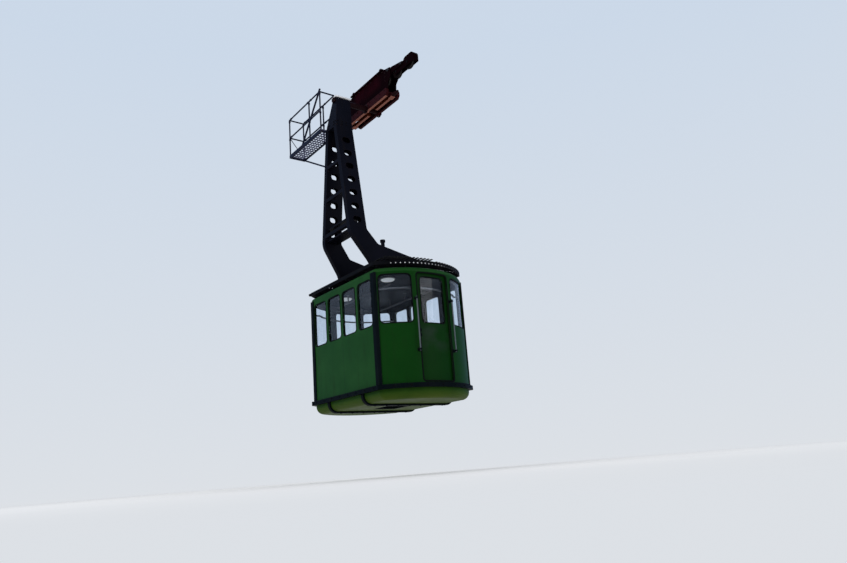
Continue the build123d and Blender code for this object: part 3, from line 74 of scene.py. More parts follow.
DOOR_OPENING_HALF_WIDTH = 0.356
DOOR_OPENING_BOTTOM = 0.064
DOOR_OPENING_TOP = 2.070
DOOR_OPENING_RADIUS = 0.060
DOOR_HANDLE_HEIGHT = 0.95
HANDRAIL_ANGLE = 15.894
HANDRAIL_OUT = 0.060
HANDRAIL_ENDS = (0.6, 1.6)
HANDRAIL_BRACKETS = (0.628, 1.572)
RAIL_PROUD = 0.048
POST_PROUD = 0.020
CEILING = 2.142
LAMP_X = 0.8
LAMP_Y = -0.44
GRAB_RAIL_Y = 0.52
GRAB_RAIL_HANGERS_X = (-0.56, 0.0, 0.56)
CROSS_RAIL_X = 1.143
CROSS_RAIL_HEIGHT = 1.81
HATCH_PULL_X = 0.20
FLOOR_TOP = 0.020

# Roof deck
SLAT_PITCH = 0.078
WALKWAY_SLATS_Y = [-0.930 + SLAT_PITCH * i for i in range(13)]
LOW_SLATS_Y = [0.130 + SLAT_PITCH * i for i in range(12)]
CLIPPED_SLATS_Y = [-0.774 + SLAT_PITCH * i for i in range(20)]
WALKWAY_TOP = 2.350
LOW_SLATS_TOP = 2.320
DECK_EDGE = 0.006
WALKWAY_END_X = 1.655
WALKWAY_BOW_RADIUS = 2.530
FOOT_HEIGHT = 2.204
FOOT_BEARER_GAP = 0.188

# Hanger
LEG_TOP_HEIGHT = 6.3
LEG_TOP_X = 0.056
LEG_SPLAY = 0.1428
LEG_MIDDLE_Y = -0.884
LEG_OUTER_Y = -1.078
LEG_HALF_DEPTH = 0.055
LEG_HOLE_LENGTH = 0.190
LEG_HOLE_HEIGHT = 0.140
LEG_HOLE_LEVELS = [3.385 + 0.304 * i for i in range(7)]
COVERED_HOLES = (4, 6)
RUNG_HEIGHTS = (4.75, 4.05, 3.30)
HEAD_TOP = 6.312
HEAD_JOINT = 5.550
HEAD_TOP_HALF_LENGTH = 0.075
HEAD_OUTER_LEAN = 0.133
HEAD_INNER_Y = -0.690
HEAD_INNER_LEAN = 0.075
HEAD_INNER_NORMAL = (0.0, 0.995, 0.098)
HEAD_END_NORMAL = (0.985, 0.0, 0.135)
PLATFORM_FLOOR = 5.6
PLATFORM_EDGES_Y = (-1.175, -0.825)
PLATFORM_MIDDLE_Y = -1.0
RAILING_HEIGHTS = (0.470, 0.920)
RAILING_TUBE = 0.0162

# Carriage
PIVOT = Vector((0.0, 0.0, -0.265))
WHEEL_PITCH = 0.42
WHEEL_X = [WHEEL_PITCH * (i - 3.5) for i in range(8)]
WHEEL_AXLE_Z = 0.134
ROCKER_PIN_Y = 0.088
ROCKER_PIN_Z = 0.205
EQUALIZER_PIN = Vector((0.84, 0.122, 0.272))
COVER_TOP_Z = 0.393
BEAM_NEAR_Y = -0.168
BEAM_FAR_Y = 0.045
BEAM_UNDERSIDE_Z = -0.3142
BEAM_INNER_X = 0.72

# How far the outer paint reaches into the walls, and how softly the lining takes over
SIDE_SKIN = 0.022
BOW_SKIN = 0.028
ROOF_SKIN = 0.036
LINING_BLEND = 0.006

# Small allowance that keeps a piece's face off the face beside it
HAIR = 0.001

# Edges flatter than this are shaded smooth
SMOOTH_ANGLE = math.radians(35.0)

# Studio
CAMERA_PLACE = Matrix((
    (0.59271532, 0.25386667, 0.76435611, 11.428),
    (0.80180979, -0.09633185, -0.58976371, -7.777),
    (-0.07608951, 0.9624302, -0.26065014, -7.961),
    (0.0, 0.0, 0.0, 1.0)))
LAMPS = (
    ("key_lamp", (3.0, -13.0, 3.5), 820.0),
    ("fill_lamp", (13.0, 5.0, -1.0), 330.0),
    ("back_lamp", (-9.0, 10.0, 5.0), 560.0),
)
LAMP_SIZE = 7.0
SUBJECT_MIDDLE_Z = -3.6
FLOOR_RADIUS = 120.0
HAZE_BEGINS = 5.0
HAZE_FULL = 12.0


def level(height):
    return RAIL_Z + height


def leg_middle_x(height):
    return LEG_TOP_X + LEG_SPLAY * (LEG_TOP_HEIGHT - height)


def node_box(name):
    """Lowest and highest corner of a node of the frame."""
    node = frame["nodes"][name]
    corners = [node.matrix_world @ Vector(corner) for corner in node.bound_box]
    return (Vector([min(corner[i] for corner in corners) for i in range(3)]),
            Vector([max(corner[i] for corner in corners) for i in range(3)]))


# Modelling helpers


def nothing_selected():
    if bpy.context.object is not None and bpy.context.object.mode != "OBJECT":
        bpy.ops.object.mode_set(mode="OBJECT")
    bpy.ops.object.select_all(action="DESELECT")


def only(piece):
    nothing_selected()
    piece.select_set(True)
    bpy.context.view_layer.objects.active = piece


def settle(piece):
    """Moves a piece's place, turn and scale into its mesh."""
    only(piece)
    bpy.ops.object.transform_apply(location=True, rotation=True, scale=True)


def block(centre, size):
    nothing_selected()
    bpy.ops.mesh.primitive_cube_add(size=1.0, location=centre, scale=size)
    piece = bpy.context.object
    settle(piece)
    return piece


def drum(radius, height, sides, base=0.0):
    """Cylinder about Z that stands on a height."""
    nothing_selected()
    bpy.ops.mesh.primitive_cylinder_add(vertices=sides, radius=radius, depth=height,
                                        location=(0.0, 0.0, base + height / 2))
    piece = bpy.context.object
    settle(piece)
    return piece


def edit_select(piece, kind, test):
    """Enters edit mode with only those parts of the mesh selected that pass a test."""
    only(piece)
    bpy.ops.object.mode_set(mode="EDIT")
    bpy.ops.mesh.select_mode(type=kind)
    bpy.ops.mesh.select_all(action="DESELECT")
    mesh = bmesh.from_edit_mesh(piece.data)
    parts = {"VERT": mesh.verts, "EDGE": mesh.edges, "FACE": mesh.faces}[kind]
    chosen = [item for item in parts if test(item)]
    for item in chosen:
        item.select_set(True)
    mesh.select_flush_mode()
    bmesh.update_edit_mesh(piece.data)
    if not chosen:
        raise RuntimeError("nothing was found to select on " + piece.name)


def leave_edit():
    bpy.ops.object.mode_set(mode="OBJECT")


def facing_up(face):
    return face.normal.z > 0.9


def raised_top(piece, *steps):
    """Insets and lifts the top face, once for each pair of inset and lift."""
    edit_select(piece, "FACE", facing_up)
    for inset, lift in steps:
        bpy.ops.mesh.inset(thickness=inset, depth=lift)
    leave_edit()


def modify(piece, kind, **settings):
    only(piece)
    bpy.ops.object.modifier_add(type=kind)
    modifier = piece.modifiers[-1]
    for name, value in settings.items():
        setattr(modifier, name, value)
    bpy.ops.object.modifier_apply(modifier=modifier.name)


def rounded(piece, width, segments, angle):
    """Rounds the edges sharper than an angle in degrees."""
    modify(piece, "BEVEL", width=width, segments=segments, limit_method="ANGLE",
           angle_limit=math.radians(angle), harden_normals=False)


def copy_to(piece, place):
    only(piece)
    bpy.ops.object.duplicate(linked=False)
    twin = bpy.context.object
    twin.matrix_world = place @ piece.matrix_world
    return twin


def joined(pieces):
    nothing_selected()
    for piece in pieces:
        piece.select_set(True)
    bpy.context.view_layer.objects.active = pieces[0]
    if len(pieces) > 1:
        bpy.ops.object.join()
    return bpy.context.object


def spread(master, places):
    """Copies a piece to its places, joins the copies and takes the first one away."""
    settle(master)
    twins = [copy_to(master, place) for place in places]
    bpy.data.objects.remove(master)
    return joined(twins)


def stand(point, normal, turn=0.0):
    """Place for a piece modelled at the origin along +Z, stood on a point along a normal."""
    return (Matrix.Translation(point) @ Vector(normal).to_track_quat("Z", "X").to_matrix().to_4x4()
            @ Matrix.Rotation(turn, 4, "Z"))


def both_sides(x, y, z, turn=0.0):
    """Places at one distance to the near and the far side of the middle, facing outwards."""
    return [stand((x, side * y, z), (0.0, side, 0.0), turn) for side in (1, -1)]


def around_bow(angle, end, height):
    """Turns a piece modelled on a bow about the origin to its place at one end of the cabin."""
    flip = Matrix.Rotation(0.0 if end > 0 else math.pi, 4, "Z")
    bow = Matrix.Translation((BOW_CENTRE_X, 0.0, level(height)))
    return flip @ bow @ Matrix.Rotation(math.radians(angle), 4, "Z")


def bow_point(turn, reach, height, end):
    """Point at a turn in radians and a distance from the middle of a bow."""
    along, across = BOW_CENTRE_X + reach * math.cos(turn), reach * math.sin(turn)
    return Vector((end * along, end * across, level(height)))


def bow_normal(turn, end):
    return Vector((end * math.cos(turn), end * math.sin(turn), 0.0))


def bow_spot(angle, height, out, end):
    """Place on a bow at an angle in degrees, facing outwards."""
    turn = math.radians(angle)
    return stand(bow_point(turn, BOW_RADIUS + out, height, end), bow_normal(turn, end))


def leg_face(side, y, height, outward):
    """Place on a face of a hanger leg: its plane leans with the leg, and local X runs along Y."""
    cos = math.cos(math.atan(LEG_SPLAY))
    normal = Vector((side * cos, 0.0, LEG_SPLAY * cos))
    middle = Vector((side * leg_middle_x(height), y, level(height)))
    facing = normal if outward else -normal
    up = Vector((-side * LEG_SPLAY * cos, 0.0, cos))
    turn = Matrix((up.cross(facing), up, facing)).transposed().to_4x4()
    return Matrix.Translation(middle + facing * LEG_HALF_DEPTH) @ turn


def deliver(piece, name, body, finish):
    """Finishes a piece, names it and hangs it on its body."""
    settle(piece)
    bpy.ops.object.mode_set(mode="EDIT")
    bpy.ops.mesh.select_all(action="SELECT")
    bpy.ops.mesh.normals_make_consistent(inside=False)
    leave_edit()
    bpy.ops.object.shade_smooth_by_angle(angle=SMOOTH_ANGLE)
    piece.name = name
    piece.data.name = name
    piece.data.materials.clear()
    piece.data.materials.append(finish_named(finish))
    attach(piece, body)


# Shader helpers


def add_node(tree, kind, **settings):
    made = tree.nodes.new(kind)
    for name, value in settings.items():
        setattr(made, name, value)
    return made


def feed(tree, node, values):
    """Links or sets a node's inputs, which are given by name or by number."""
    for name, value in values.items():
        if isinstance(value, bpy.types.NodeSocket):
            tree.links.new(value, node.inputs[name])
        else:
            node.inputs[name].default_value = value


def math_node(tree, operation, first, second=None, clamp=False):
    made = add_node(tree, "ShaderNodeMath", operation=operation, use_clamp=clamp)
    feed(tree, made, {0: first} if second is None else {0: first, 1: second})
    return made.outputs[0]


def product(tree, *values, clamp=False):
    result = values[0]
    for value in values[1:-1]:
        result = math_node(tree, "MULTIPLY", result, value)
    return math_node(tree, "MULTIPLY", result, values[-1], clamp)


def distance(tree, across, along):
    """Length of a vector from its two parts."""
    squares = math_node(tree, "ADD", product(tree, across, across), product(tree, along, along))
    return math_node(tree, "SQRT", squares)


def magnitude(tree, value):
    return math_node(tree, "ABSOLUTE", value)


def ranged(tree, value, low, high, to_low=0.0, to_high=1.0):
    made = add_node(tree, "ShaderNodeMapRange")
    feed(tree, made, {"Value": value, "From Min": low, "From Max": high, "To Min": to_low, "To Max": to_high})
    return made.outputs[0]


def within(tree, value, edge):
    """One where a value lies below an edge, zero just above it."""
    return ranged(tree, value, edge + LINING_BLEND, edge)


def mixed(tree, factor, first, second):
    made = add_node(tree, "ShaderNodeMix", data_type="RGBA")
    feed(tree, made, {0: factor, 6: first, 7: second})
    return made.outputs[2]


def noise(tree, place, scale, detail=3.0, roughness=0.55, stretch=(1.0, 1.0, 1.0)):
    mapping = add_node(tree, "ShaderNodeMapping")
    feed(tree, mapping, {"Vector": place, "Scale": stretch})
    made = add_node(tree, "ShaderNodeTexNoise")
    feed(tree, made, {"Vector": mapping.outputs[0], "Scale": scale, "Detail": detail, "Roughness": roughness})
    return made.outputs["Fac"]


def relief(tree, height, strength, depth):
    made = add_node(tree, "ShaderNodeBump")
    feed(tree, made, {"Height": height, "Strength": strength, "Distance": depth})
    return made.outputs[0]


def object_place(tree):
    return add_node(tree, "ShaderNodeTexCoord").outputs["Object"]


def object_axes(tree):
    place = object_place(tree)
    split = add_node(tree, "ShaderNodeSeparateXYZ")
    feed(tree, split, {0: place})
    return place, split.outputs["X"], split.outputs["Y"], split.outputs["Z"]


def start_material(name):
    material = bpy.data.materials.new(name)
    material.use_nodes = True
    return material, material.node_tree, material.node_tree.nodes["Principled BSDF"]


def opaque(colour):
    return (*colour, 1.0)


def scaled(colour, gain, lift=0.0):
    return tuple(part * gain + lift for part in colour)


# Finishes

RUST = (0.050, 0.018, 0.007)
DARK_RUST = (0.020, 0.008, 0.004)
PRIMER = (0.085, 0.080, 0.075)
ROAD_GRIME = (0.010, 0.018, 0.008)
PALE_DUST = (0.035, 0.033, 0.030)
DARK_GREY = (0.030, 0.028, 0.027)
HORIZON = (0.72, 0.75, 0.79)
# Colours of the cabin's inner lining and ceiling, painted near black: painted shade inside the cabin
SHADED_LINING = (0.013, 0.012, 0.013)
SHADED_LINING_PATCHES = (0.020, 0.018, 0.019)
SHADED_CEILING_GREY = (0.006, 0.0065, 0.009)
SHADED_CEILING_PATCHES = (0.010, 0.0105, 0.014)


def weathered_coat():
    """Paint that fades in patches, streaks downwards, gathers dust on top and chips along its edges."""
    if "weathered_coat" in bpy.data.node_groups:
        return bpy.data.node_groups["weathered_coat"]
    group = bpy.data.node_groups.new("weathered_coat", "ShaderNodeTree")
    for name in ("Paint", "Faded", "Grime", "Bare"):
        group.interface.new_socket(name=name, in_out="INPUT", socket_type="NodeSocketColor")
    for name, value in (("Fade", 0.5), ("Streaks", 0.5), ("Chips", 0.3), ("Dust", 0.3),
                        ("Base roughness", 0.4)):
        made = group.interface.new_socket(name=name, in_out="INPUT", socket_type="NodeSocketFloat")
        made.default_value = value
    group.interface.new_socket(name="Color", in_out="OUTPUT", socket_type="NodeSocketColor")
    for name in ("Roughness", "Height"):
        group.interface.new_socket(name=name, in_out="OUTPUT", socket_type="NodeSocketFloat")
    given = add_node(group, "NodeGroupInput").outputs
    coords = add_node(group, "ShaderNodeTexCoord")
    place = coords.outputs["Object"]

    patches = ranged(group, noise(group, place, 1.7, 4.0), 0.38, 0.68)
    fade = product(group, patches, given["Fade"], clamp=True)
    colour = mixed(group, fade, given["Paint"], given["Faded"])

    runs = ranged(group, noise(group, place, 9.0, 3.0, 0.6, (1.0, 1.0, 0.07)), 0.50, 0.78)
    broken = ranged(group, noise(group, place, 3.1, 3.0), 0.35, 0.65)
    streaks = product(group, runs, broken, given["Streaks"], clamp=True)
    colour = mixed(group, streaks, colour, given["Grime"])

    normal = add_node(group, "ShaderNodeSeparateXYZ")
    feed(group, normal, {0: coords.outputs["Normal"]})
    upward = ranged(group, normal.outputs["Z"], 0.55, 1.0)
    settled = ranged(group, noise(group, place, 6.0, 5.0), 0.25, 0.7)
    dusty = product(group, upward, settled, given["Dust"], clamp=True)
    colour = mixed(group, dusty, colour, given["Grime"])

    bevel = add_node(group, "ShaderNodeBevel", samples=4)
    feed(group, bevel, {"Radius": 0.010})
    facing = add_node(group, "ShaderNodeVectorMath", operation="DOT_PRODUCT")
    geometry = add_node(group, "ShaderNodeNewGeometry")
    feed(group, facing, {0: bevel.outputs[0], 1: geometry.outputs["Normal"]})
    edges = ranged(group, facing.outputs["Value"], 0.985, 0.86)
    nicks = ranged(group, noise(group, place, 26.0, 6.0, 0.7), 0.50, 0.60)
    chips = product(group, edges, nicks, given["Chips"], clamp=True)
    colour = mixed(group, chips, colour, given["Bare"])

    rough = math_node(group, "ADD", given["Base roughness"], product(group, fade, 0.12))
    rough = math_node(group, "ADD", rough, product(group, streaks, 0.25))
    rough = math_node(group, "ADD", rough, product(group, dusty, 0.4), clamp=True)
    orange_peel = noise(group, place, 160.0, 2.0)
    height = math_node(group, "SUBTRACT", product(group, orange_peel, 0.25), chips)
    feed(group, add_node(group, "NodeGroupOutput"), {"Color": colour, "Roughness": rough, "Height": height})
    return group


def coated(name, paint, faded, grime=ROAD_GRIME, bare=PRIMER, roughness=0.42, specular=0.03, fade=0.6,
           streaks=0.4, chips=0.3, dust=0.3, tones=None):
    """Weathered paint; tones adds what only one piece has."""
    material, tree, shader = start_material(name)
    coat = add_node(tree, "ShaderNodeGroup", node_tree=weathered_coat())
    feed(tree, coat, {
        "Paint": opaque(paint), "Faded": opaque(faded), "Grime": opaque(grime), "Bare": opaque(bare),
        "Fade": fade, "Streaks": streaks, "Chips": chips, "Dust": dust, "Base roughness": roughness})
    colour, height = coat.outputs["Color"], coat.outputs["Height"]
    if tones is not None:
        colour, height = tones(tree, colour, height)
    feed(tree, shader, {
        "Base Color": colour, "Roughness": coat.outputs["Roughness"],
        "Normal": relief(tree, height, 0.25, 0.001), "Specular IOR Level": specular})
    return material


# Near-black lining colour with random patches: painted shade inside the cabin
def shaded_lining_colour(tree, place, scale=3.0, clean=SHADED_LINING, patchy_tone=SHADED_LINING_PATCHES):
    return mixed(tree, ranged(tree, noise(tree, place, scale, 4.0), 0.3, 0.7), opaque(clean), opaque(patchy_tone))


def inner_side_lining(tree, colour, height):
    """Lining on the inner face of the side walls, painted near black as painted shade, and thin upright
    joints outside.
    """
    place, x, y, z = object_axes(tree)
    inside = within(tree, magnitude(tree, y), HALF_WIDTH - SIDE_SKIN)
    joint = ranged(tree, math_node(tree, "PINGPONG", x, SIDE_WINDOW_PITCH), 0.0045, 0.002)
    under_windows = ranged(tree, z, level(WINDOW_BOTTOM) - 0.02, level(WINDOW_BOTTOM) - 0.03)
    seam = product(tree, joint, under_windows)
    colour = mixed(tree, product(tree, seam, 0.75), colour, (0.004, 0.010, 0.005, 1.0))
    height = math_node(tree, "SUBTRACT", height, product(tree, seam, 2.0))
    return mixed(tree, inside, colour, shaded_lining_colour(tree, place)), height


def bow_radius_at(tree, x, y):
    return distance(tree, math_node(tree, "SUBTRACT", magnitude(tree, x), BOW_CENTRE_X), y)


def inner_bow_lining(tree, colour, height):
    # Lining on the inner face of the bows, painted near black as painted shade
    place, x, y, _ = object_axes(tree)
    inside = within(tree, bow_radius_at(tree, x, y), BOW_RADIUS - BOW_SKIN)
    return mixed(tree, inside, colour, shaded_lining_colour(tree, place)), height


def inner_door_lining(tree, colour, height):
    """Lining on the inner face of the doors, painted near black as painted shade, and a paler grey patch
    under the window outside.
    """
    place, x, y, z = object_axes(tree)
    inner_face = BOW_RADIUS - DOOR_RECESS - DOOR_THICKNESS
    # The doors' inner face takes the near-black lining: painted shade
    inside = within(tree, bow_radius_at(tree, x, y), inner_face + 0.004)
    # Paler grey patch under the door window on the outer face, stronger on the uphill door
    band = product(tree, ranged(tree, z, level(1.12), level(1.00)), ranged(tree, z, level(0.55), level(0.80)))
    patchy = ranged(tree, noise(tree, place, 3.6, 3.0, 0.5), 0.36, 0.62)
    uphill_more = ranged(tree, x, 0.0, 0.1, 0.3, 0.75)
    colour = mixed(tree, product(tree, band, patchy, uphill_more), colour, (0.015, 0.031, 0.019, 1.0))
    return mixed(tree, inside, colour, shaded_lining_colour(tree, place)), height


def ceiling_lining(tree, colour, height):
    # Ceiling lining, painted near black as painted shade
    place, x, y, z = object_axes(tree)
    inside = product(tree, within(tree, magnitude(tree, y), HALF_WIDTH - ROOF_SKIN),
                     within(tree, bow_radius_at(tree, x, y), BOW_RADIUS - ROOF_SKIN))
    inside = product(tree, ranged(tree, z, level(CEILING) + 0.010, level(CEILING) + 0.004), inside)
    return mixed(tree, inside, colour, shaded_lining_colour(tree, place, 2.0, SHADED_CEILING_GREY, SHADED_CEILING_PATCHES)), height


def belly_lit_from_below(tree, colour, height):
    """The belly's green is painted paler and more olive towards its underside, in uneven patches: painted
    light from the ground below.
    """
    place, _, _, z = object_axes(tree)
    # Paler olive towards the underside: painted light from below
    low = ranged(tree, z, level(-0.08), level(-0.215))
    patchy = ranged(tree, noise(tree, place, 2.2, 5.0), 0.3, 0.7, 0.55, 1.0)
    return mixed(tree, product(tree, low, patchy), colour, (0.060, 0.088, 0.013, 1.0)), height


def lit_underside_stripes(tree, colour, height):
    """Dark red primer inside the beams' channels, and pale stripes along their undersides: painted light,
    where the flanges' undersides catch light from below.
    """
    place, x, y, z = object_axes(tree)
    inside = product(tree, ranged(tree, y, BEAM_NEAR_Y, BEAM_NEAR_Y + 0.002),
                     ranged(tree, y, BEAM_FAR_Y, BEAM_FAR_Y - 0.010),
                     ranged(tree, magnitude(tree, x), BEAM_INNER_X, BEAM_INNER_X - 0.02))
    colour = mixed(tree, inside, colour, (0.070, 0.011, 0.003, 1.0))
    # Pale stripes on the beams' undersides: painted light from below, uneven in patches
    under = product(tree, ranged(tree, z, BEAM_UNDERSIDE_Z + 0.0007, BEAM_UNDERSIDE_Z),
                    ranged(tree, y, BEAM_FAR_Y, BEAM_FAR_Y - 0.005))
    patchy_tone = ranged(tree, noise(tree, place, 14.0, 4.0, 0.6, (0.15, 1.0, 1.0)), 0.3, 0.7, 0.75, 1.0)
    return mixed(tree, product(tree, under, patchy_tone), colour, (0.29, 0.118, 0.085, 1.0)), height


def painted_frame_shading(tree, colour, height):
    """Painted light and shade on the carriage's frame: its red is painted lighter high up in the middle,
    where light falls, and stays darker towards the bottom, where shade falls, and towards the ends.
    """
    place, x, _, z = object_axes(tree)
    # clean marks the lighter upper middle: painted light; the darker red below is painted shade
    clean = product(tree, ranged(tree, z, -0.02, 0.14), ranged(tree, magnitude(tree, x), 0.60, 0.42))
    uneven = ranged(tree, noise(tree, place, 5.0, 4.0), 0.30, 0.60, 0.35, 1.0)
    return mixed(tree, product(tree, clean, uneven), colour, (0.0130, 0.0014, 0.0034, 1.0)), height


def boards(tree, colour, height):
    """Long grain along the deck's slats."""
    grain = noise(tree, object_place(tree), 40.0, 5.0, 0.65, (0.06, 1.0, 1.0))
    colour = mixed(tree, ranged(tree, grain, 0.45, 0.72), colour, (0.020, 0.019, 0.018, 1.0))
    return colour, math_node(tree, "ADD", height, product(tree, grain, 2.0))


def studs(tree, colour, height):
    """Round studs of the rubber floor covering."""
    cells = add_node(tree, "ShaderNodeTexVoronoi", voronoi_dimensions="2D")
    feed(tree, cells, {"Vector": object_place(tree), "Scale": 28.0, "Randomness": 0.0})
    stud = ranged(tree, cells.outputs["Distance"], 0.34, 0.28)
    colour = mixed(tree, product(tree, stud, 0.4), colour, (0.028, 0.029, 0.031, 1.0))
    return colour, math_node(tree, "ADD", height, product(tree, stud, 1.2))


def wheel_tread(tree, colour, height):
    """Ring rolled smooth by the rope, at the bottom of the groove of each wheel."""
    _, x, y, z = object_axes(tree)
    half_pitch = WHEEL_PITCH / 2
    from_axle = math_node(tree, "PINGPONG", math_node(tree, "ADD", x, WHEEL_PITCH), half_pitch)
    radius = distance(tree, math_node(tree, "SUBTRACT", half_pitch, from_axle),
                      math_node(tree, "SUBTRACT", z, WHEEL_AXLE_Z))
    groove = ranged(tree, radius, 0.1175, 0.1165)
    rim = ranged(tree, radius, 0.108, 0.110)
    middle = ranged(tree, magnitude(tree, y), 0.020, 0.014)
    return mixed(tree, product(tree, groove, rim, middle), colour, opaque(DARK_GREY)), height


def steel(name, colour, roughness, metallic, stain, stained=0.35, scale=60.0, brushed=(1.0, 1.0, 1.0)):
    """Bare or silver metal with fine lines and stained patches."""
    material, tree, shader = start_material(name)
    place = object_place(tree)
    lines = noise(tree, place, scale, 4.0, 0.6, brushed)
    patches = ranged(tree, noise(tree, place, 9.0, 5.0, 0.6), 0.52, 0.75, 0.0, stained)
    base = mixed(tree, ranged(tree, lines, 0.3, 0.7, 0.0, 0.35), opaque(colour), opaque(scaled(colour, 0.62)))
    rough = math_node(tree, "ADD", ranged(tree, lines, 0.3, 0.7, roughness * 0.8, roughness * 1.2),
                      product(tree, patches, 0.5), clamp=True)
    feed(tree, shader, {
        "Base Color": mixed(tree, patches, base, opaque(stain)), "Roughness": rough,
        "Normal": relief(tree, lines, 0.15, 0.0006), "Metallic": metallic})
    return material


def sheet_darker_on_far_side(name):
    """Pale sheet metal, darker towards the far side of the cabin."""
    material = steel(name, (0.68, 0.69, 0.71), 0.45, 0.1, (0.40, 0.38, 0.36), scale=24.0)
    tree = material.node_tree
    shader = tree.nodes["Principled BSDF"]
    clean = shader.inputs["Base Color"].links[0].from_socket
    place, _, y, _ = object_axes(tree)
    uneven_y = math_node(tree, "ADD", y, product(tree, noise(tree, place, 9.0, 2.0), 0.5))
    feed(tree, shader, {"Base Color": mixed(tree, ranged(tree, uneven_y, 0.10, 0.55), clean, opaque(DARK_GREY))})
    return material


def rubber(name):
    """Black rubber with a dull bloom in patches."""
    black = (0.0030, 0.0034, 0.0040)
    material, tree, shader = start_material(name)
    place = object_place(tree)
    bloom = ranged(tree, noise(tree, place, 7.0, 5.0, 0.6), 0.45, 0.8)
    feed(tree, shader, {
        "Base Color": mixed(tree, bloom, opaque(black), opaque(scaled(black, 1.8, 0.001))),
        "Roughness": ranged(tree, bloom, 0.0, 1.0, 0.55, 0.78),
        "Normal": relief(tree, noise(tree, place, 220.0, 2.0), 0.2, 0.0008), "Specular IOR Level": 0.03})
    return material


def glass(name):
    """Window glass with a thin film of dirt in upright patches."""
    material, tree, shader = start_material(name)
    film = ranged(tree, noise(tree, object_place(tree), 4.0, 5.0, 0.6, (1.0, 1.0, 0.4)), 0.4, 0.8)
    feed(tree, shader, {
        "Base Color": mixed(tree, film, (0.84, 0.90, 0.96, 1.0), (0.72, 0.78, 0.85, 1.0)),
        "Roughness": ranged(tree, film, 0.0, 1.0, 0.015, 0.05), "Transmission Weight": 1.0, "IOR": 1.22})
    return material


def opal(name):
    """White lamp cover with a faint, even glow."""
    material, tree, shader = start_material(name)
    haze = ranged(tree, noise(tree, object_place(tree), 12.0, 3.0), 0.3, 0.7)
    feed(tree, shader, {
        "Base Color": mixed(tree, haze, (0.86, 0.86, 0.82, 1.0), (0.78, 0.78, 0.75, 1.0)), "Roughness": 0.25,
        "Emission Color": (1.0, 1.0, 0.97, 1.0), "Emission Strength": 0.26})
    return material


def paint_coats():
    """What each paint is made of, where it isn't the usual coat."""
    shade = bpy.context.scene.cable_car_colours
    side, bow, black = tuple(shade.side_green), tuple(shade.shaded_bow_green), tuple(shade.hanger_black)
    red, beam = tuple(shade.carriage_red), tuple(shade.beam_red)
    deck = {"paint": (0.003, 0.0034, 0.005), "faded": (0.006, 0.0065, 0.008), "grime": PALE_DUST,
            "specular": 0.02, "fade": 0.7, "dust": 0.35}
    return {
        "side_paint": dict(paint=side, faded=scaled(side, 1.35, 0.004), roughness=0.36, specular=0.035,
                           streaks=0.5, tones=inner_side_lining),
        # The bow and door greens are darker copies of the side green: painted shade
        "bow_paint": dict(paint=bow, faded=scaled(bow, 1.2), roughness=0.34, tones=inner_bow_lining),
        "door_paint": dict(paint=scaled(bow, 0.8), faded=bow, roughness=0.34, fade=0.5,
                           tones=inner_door_lining),
        "roof_paint": dict(paint=side, faded=scaled(side, 1.35, 0.004), roughness=0.40, fade=0.7, dust=0.8,
                           tones=ceiling_lining),
        "belly_paint": dict(paint=(0.013, 0.046, 0.004), faded=(0.025, 0.066, 0.007), roughness=0.46,
                            fade=0.7, streaks=0.3, chips=0.2, dust=0.0, tones=belly_lit_from_below),
        "trim_paint": dict(paint=(0.0016, 0.0035, 0.0050), faded=(0.004, 0.006, 0.008), specular=0.02,
                           dust=0.4),
        "deck_paint": dict(deck, roughness=0.62, streaks=0.2, tones=boards),
        "deck_frame_paint": dict(deck, bare=RUST, roughness=0.55, streaks=0.3),
        "hanger_paint": dict(paint=black, faded=scaled(black, 1.6, 0.0008), grime=(0.009, 0.0065, 0.006),
                             bare=RUST, roughness=0.44, fade=0.7, streaks=0.6, chips=0.6, dust=0.4),
        "rail_paint": dict(paint=(0.007, 0.011, 0.026), faded=(0.014, 0.019, 0.038), grime=RUST, bare=RUST,
                           roughness=0.5, specular=0.04, streaks=0.5, chips=0.5),
        "carriage_paint": dict(paint=red, faded=scaled(red, 1.5, 0.0003), grime=(0.003, 0.0015, 0.002),
                               bare=(0.030, 0.015, 0.012), roughness=0.50, specular=0.004, fade=0.7,
                               streaks=0.8, chips=0.2, dust=0.5, tones=painted_frame_shading),
        "beam_paint": dict(paint=beam, faded=scaled(beam, 1.3), grime=(0.010, 0.0025, 0.003),
                           bare=(0.050, 0.026, 0.020), specular=0.02, fade=0.7, streaks=0.8, chips=0.4,
                           dust=0.5, tones=lit_underside_stripes),
        "shaft_paint": dict(paint=(0.010, 0.0026, 0.0040), faded=(0.017, 0.006, 0.006),
                            grime=(0.005, 0.003, 0.003), roughness=0.40, streaks=0.6, chips=0.5, dust=0.4),
        "floor_rubber": dict(paint=(0.014, 0.016, 0.020), faded=(0.022, 0.023, 0.026), grime=PALE_DUST,
                             bare=(0.04, 0.04, 0.04), roughness=0.62, specular=0.15, streaks=0.0, chips=0.0,
                             dust=0.4, tones=studs),
        "wheel_paint": dict(paint=(0.0035, 0.0022, 0.0025), faded=(0.007, 0.005, 0.005),
                            grime=(0.003, 0.002, 0.002), bare=DARK_RUST, roughness=0.50, specular=0.006,
                            chips=0.2, tones=wheel_tread),
        "black_bolt": dict(paint=(0.0035, 0.0035, 0.0045), faded=(0.0065, 0.006, 0.0065), grime=DARK_RUST,
                           bare=(0.030, 0.011, 0.005), roughness=0.55, specular=0.015, fade=0.5, streaks=0.25,
                           dust=0.2),
    }


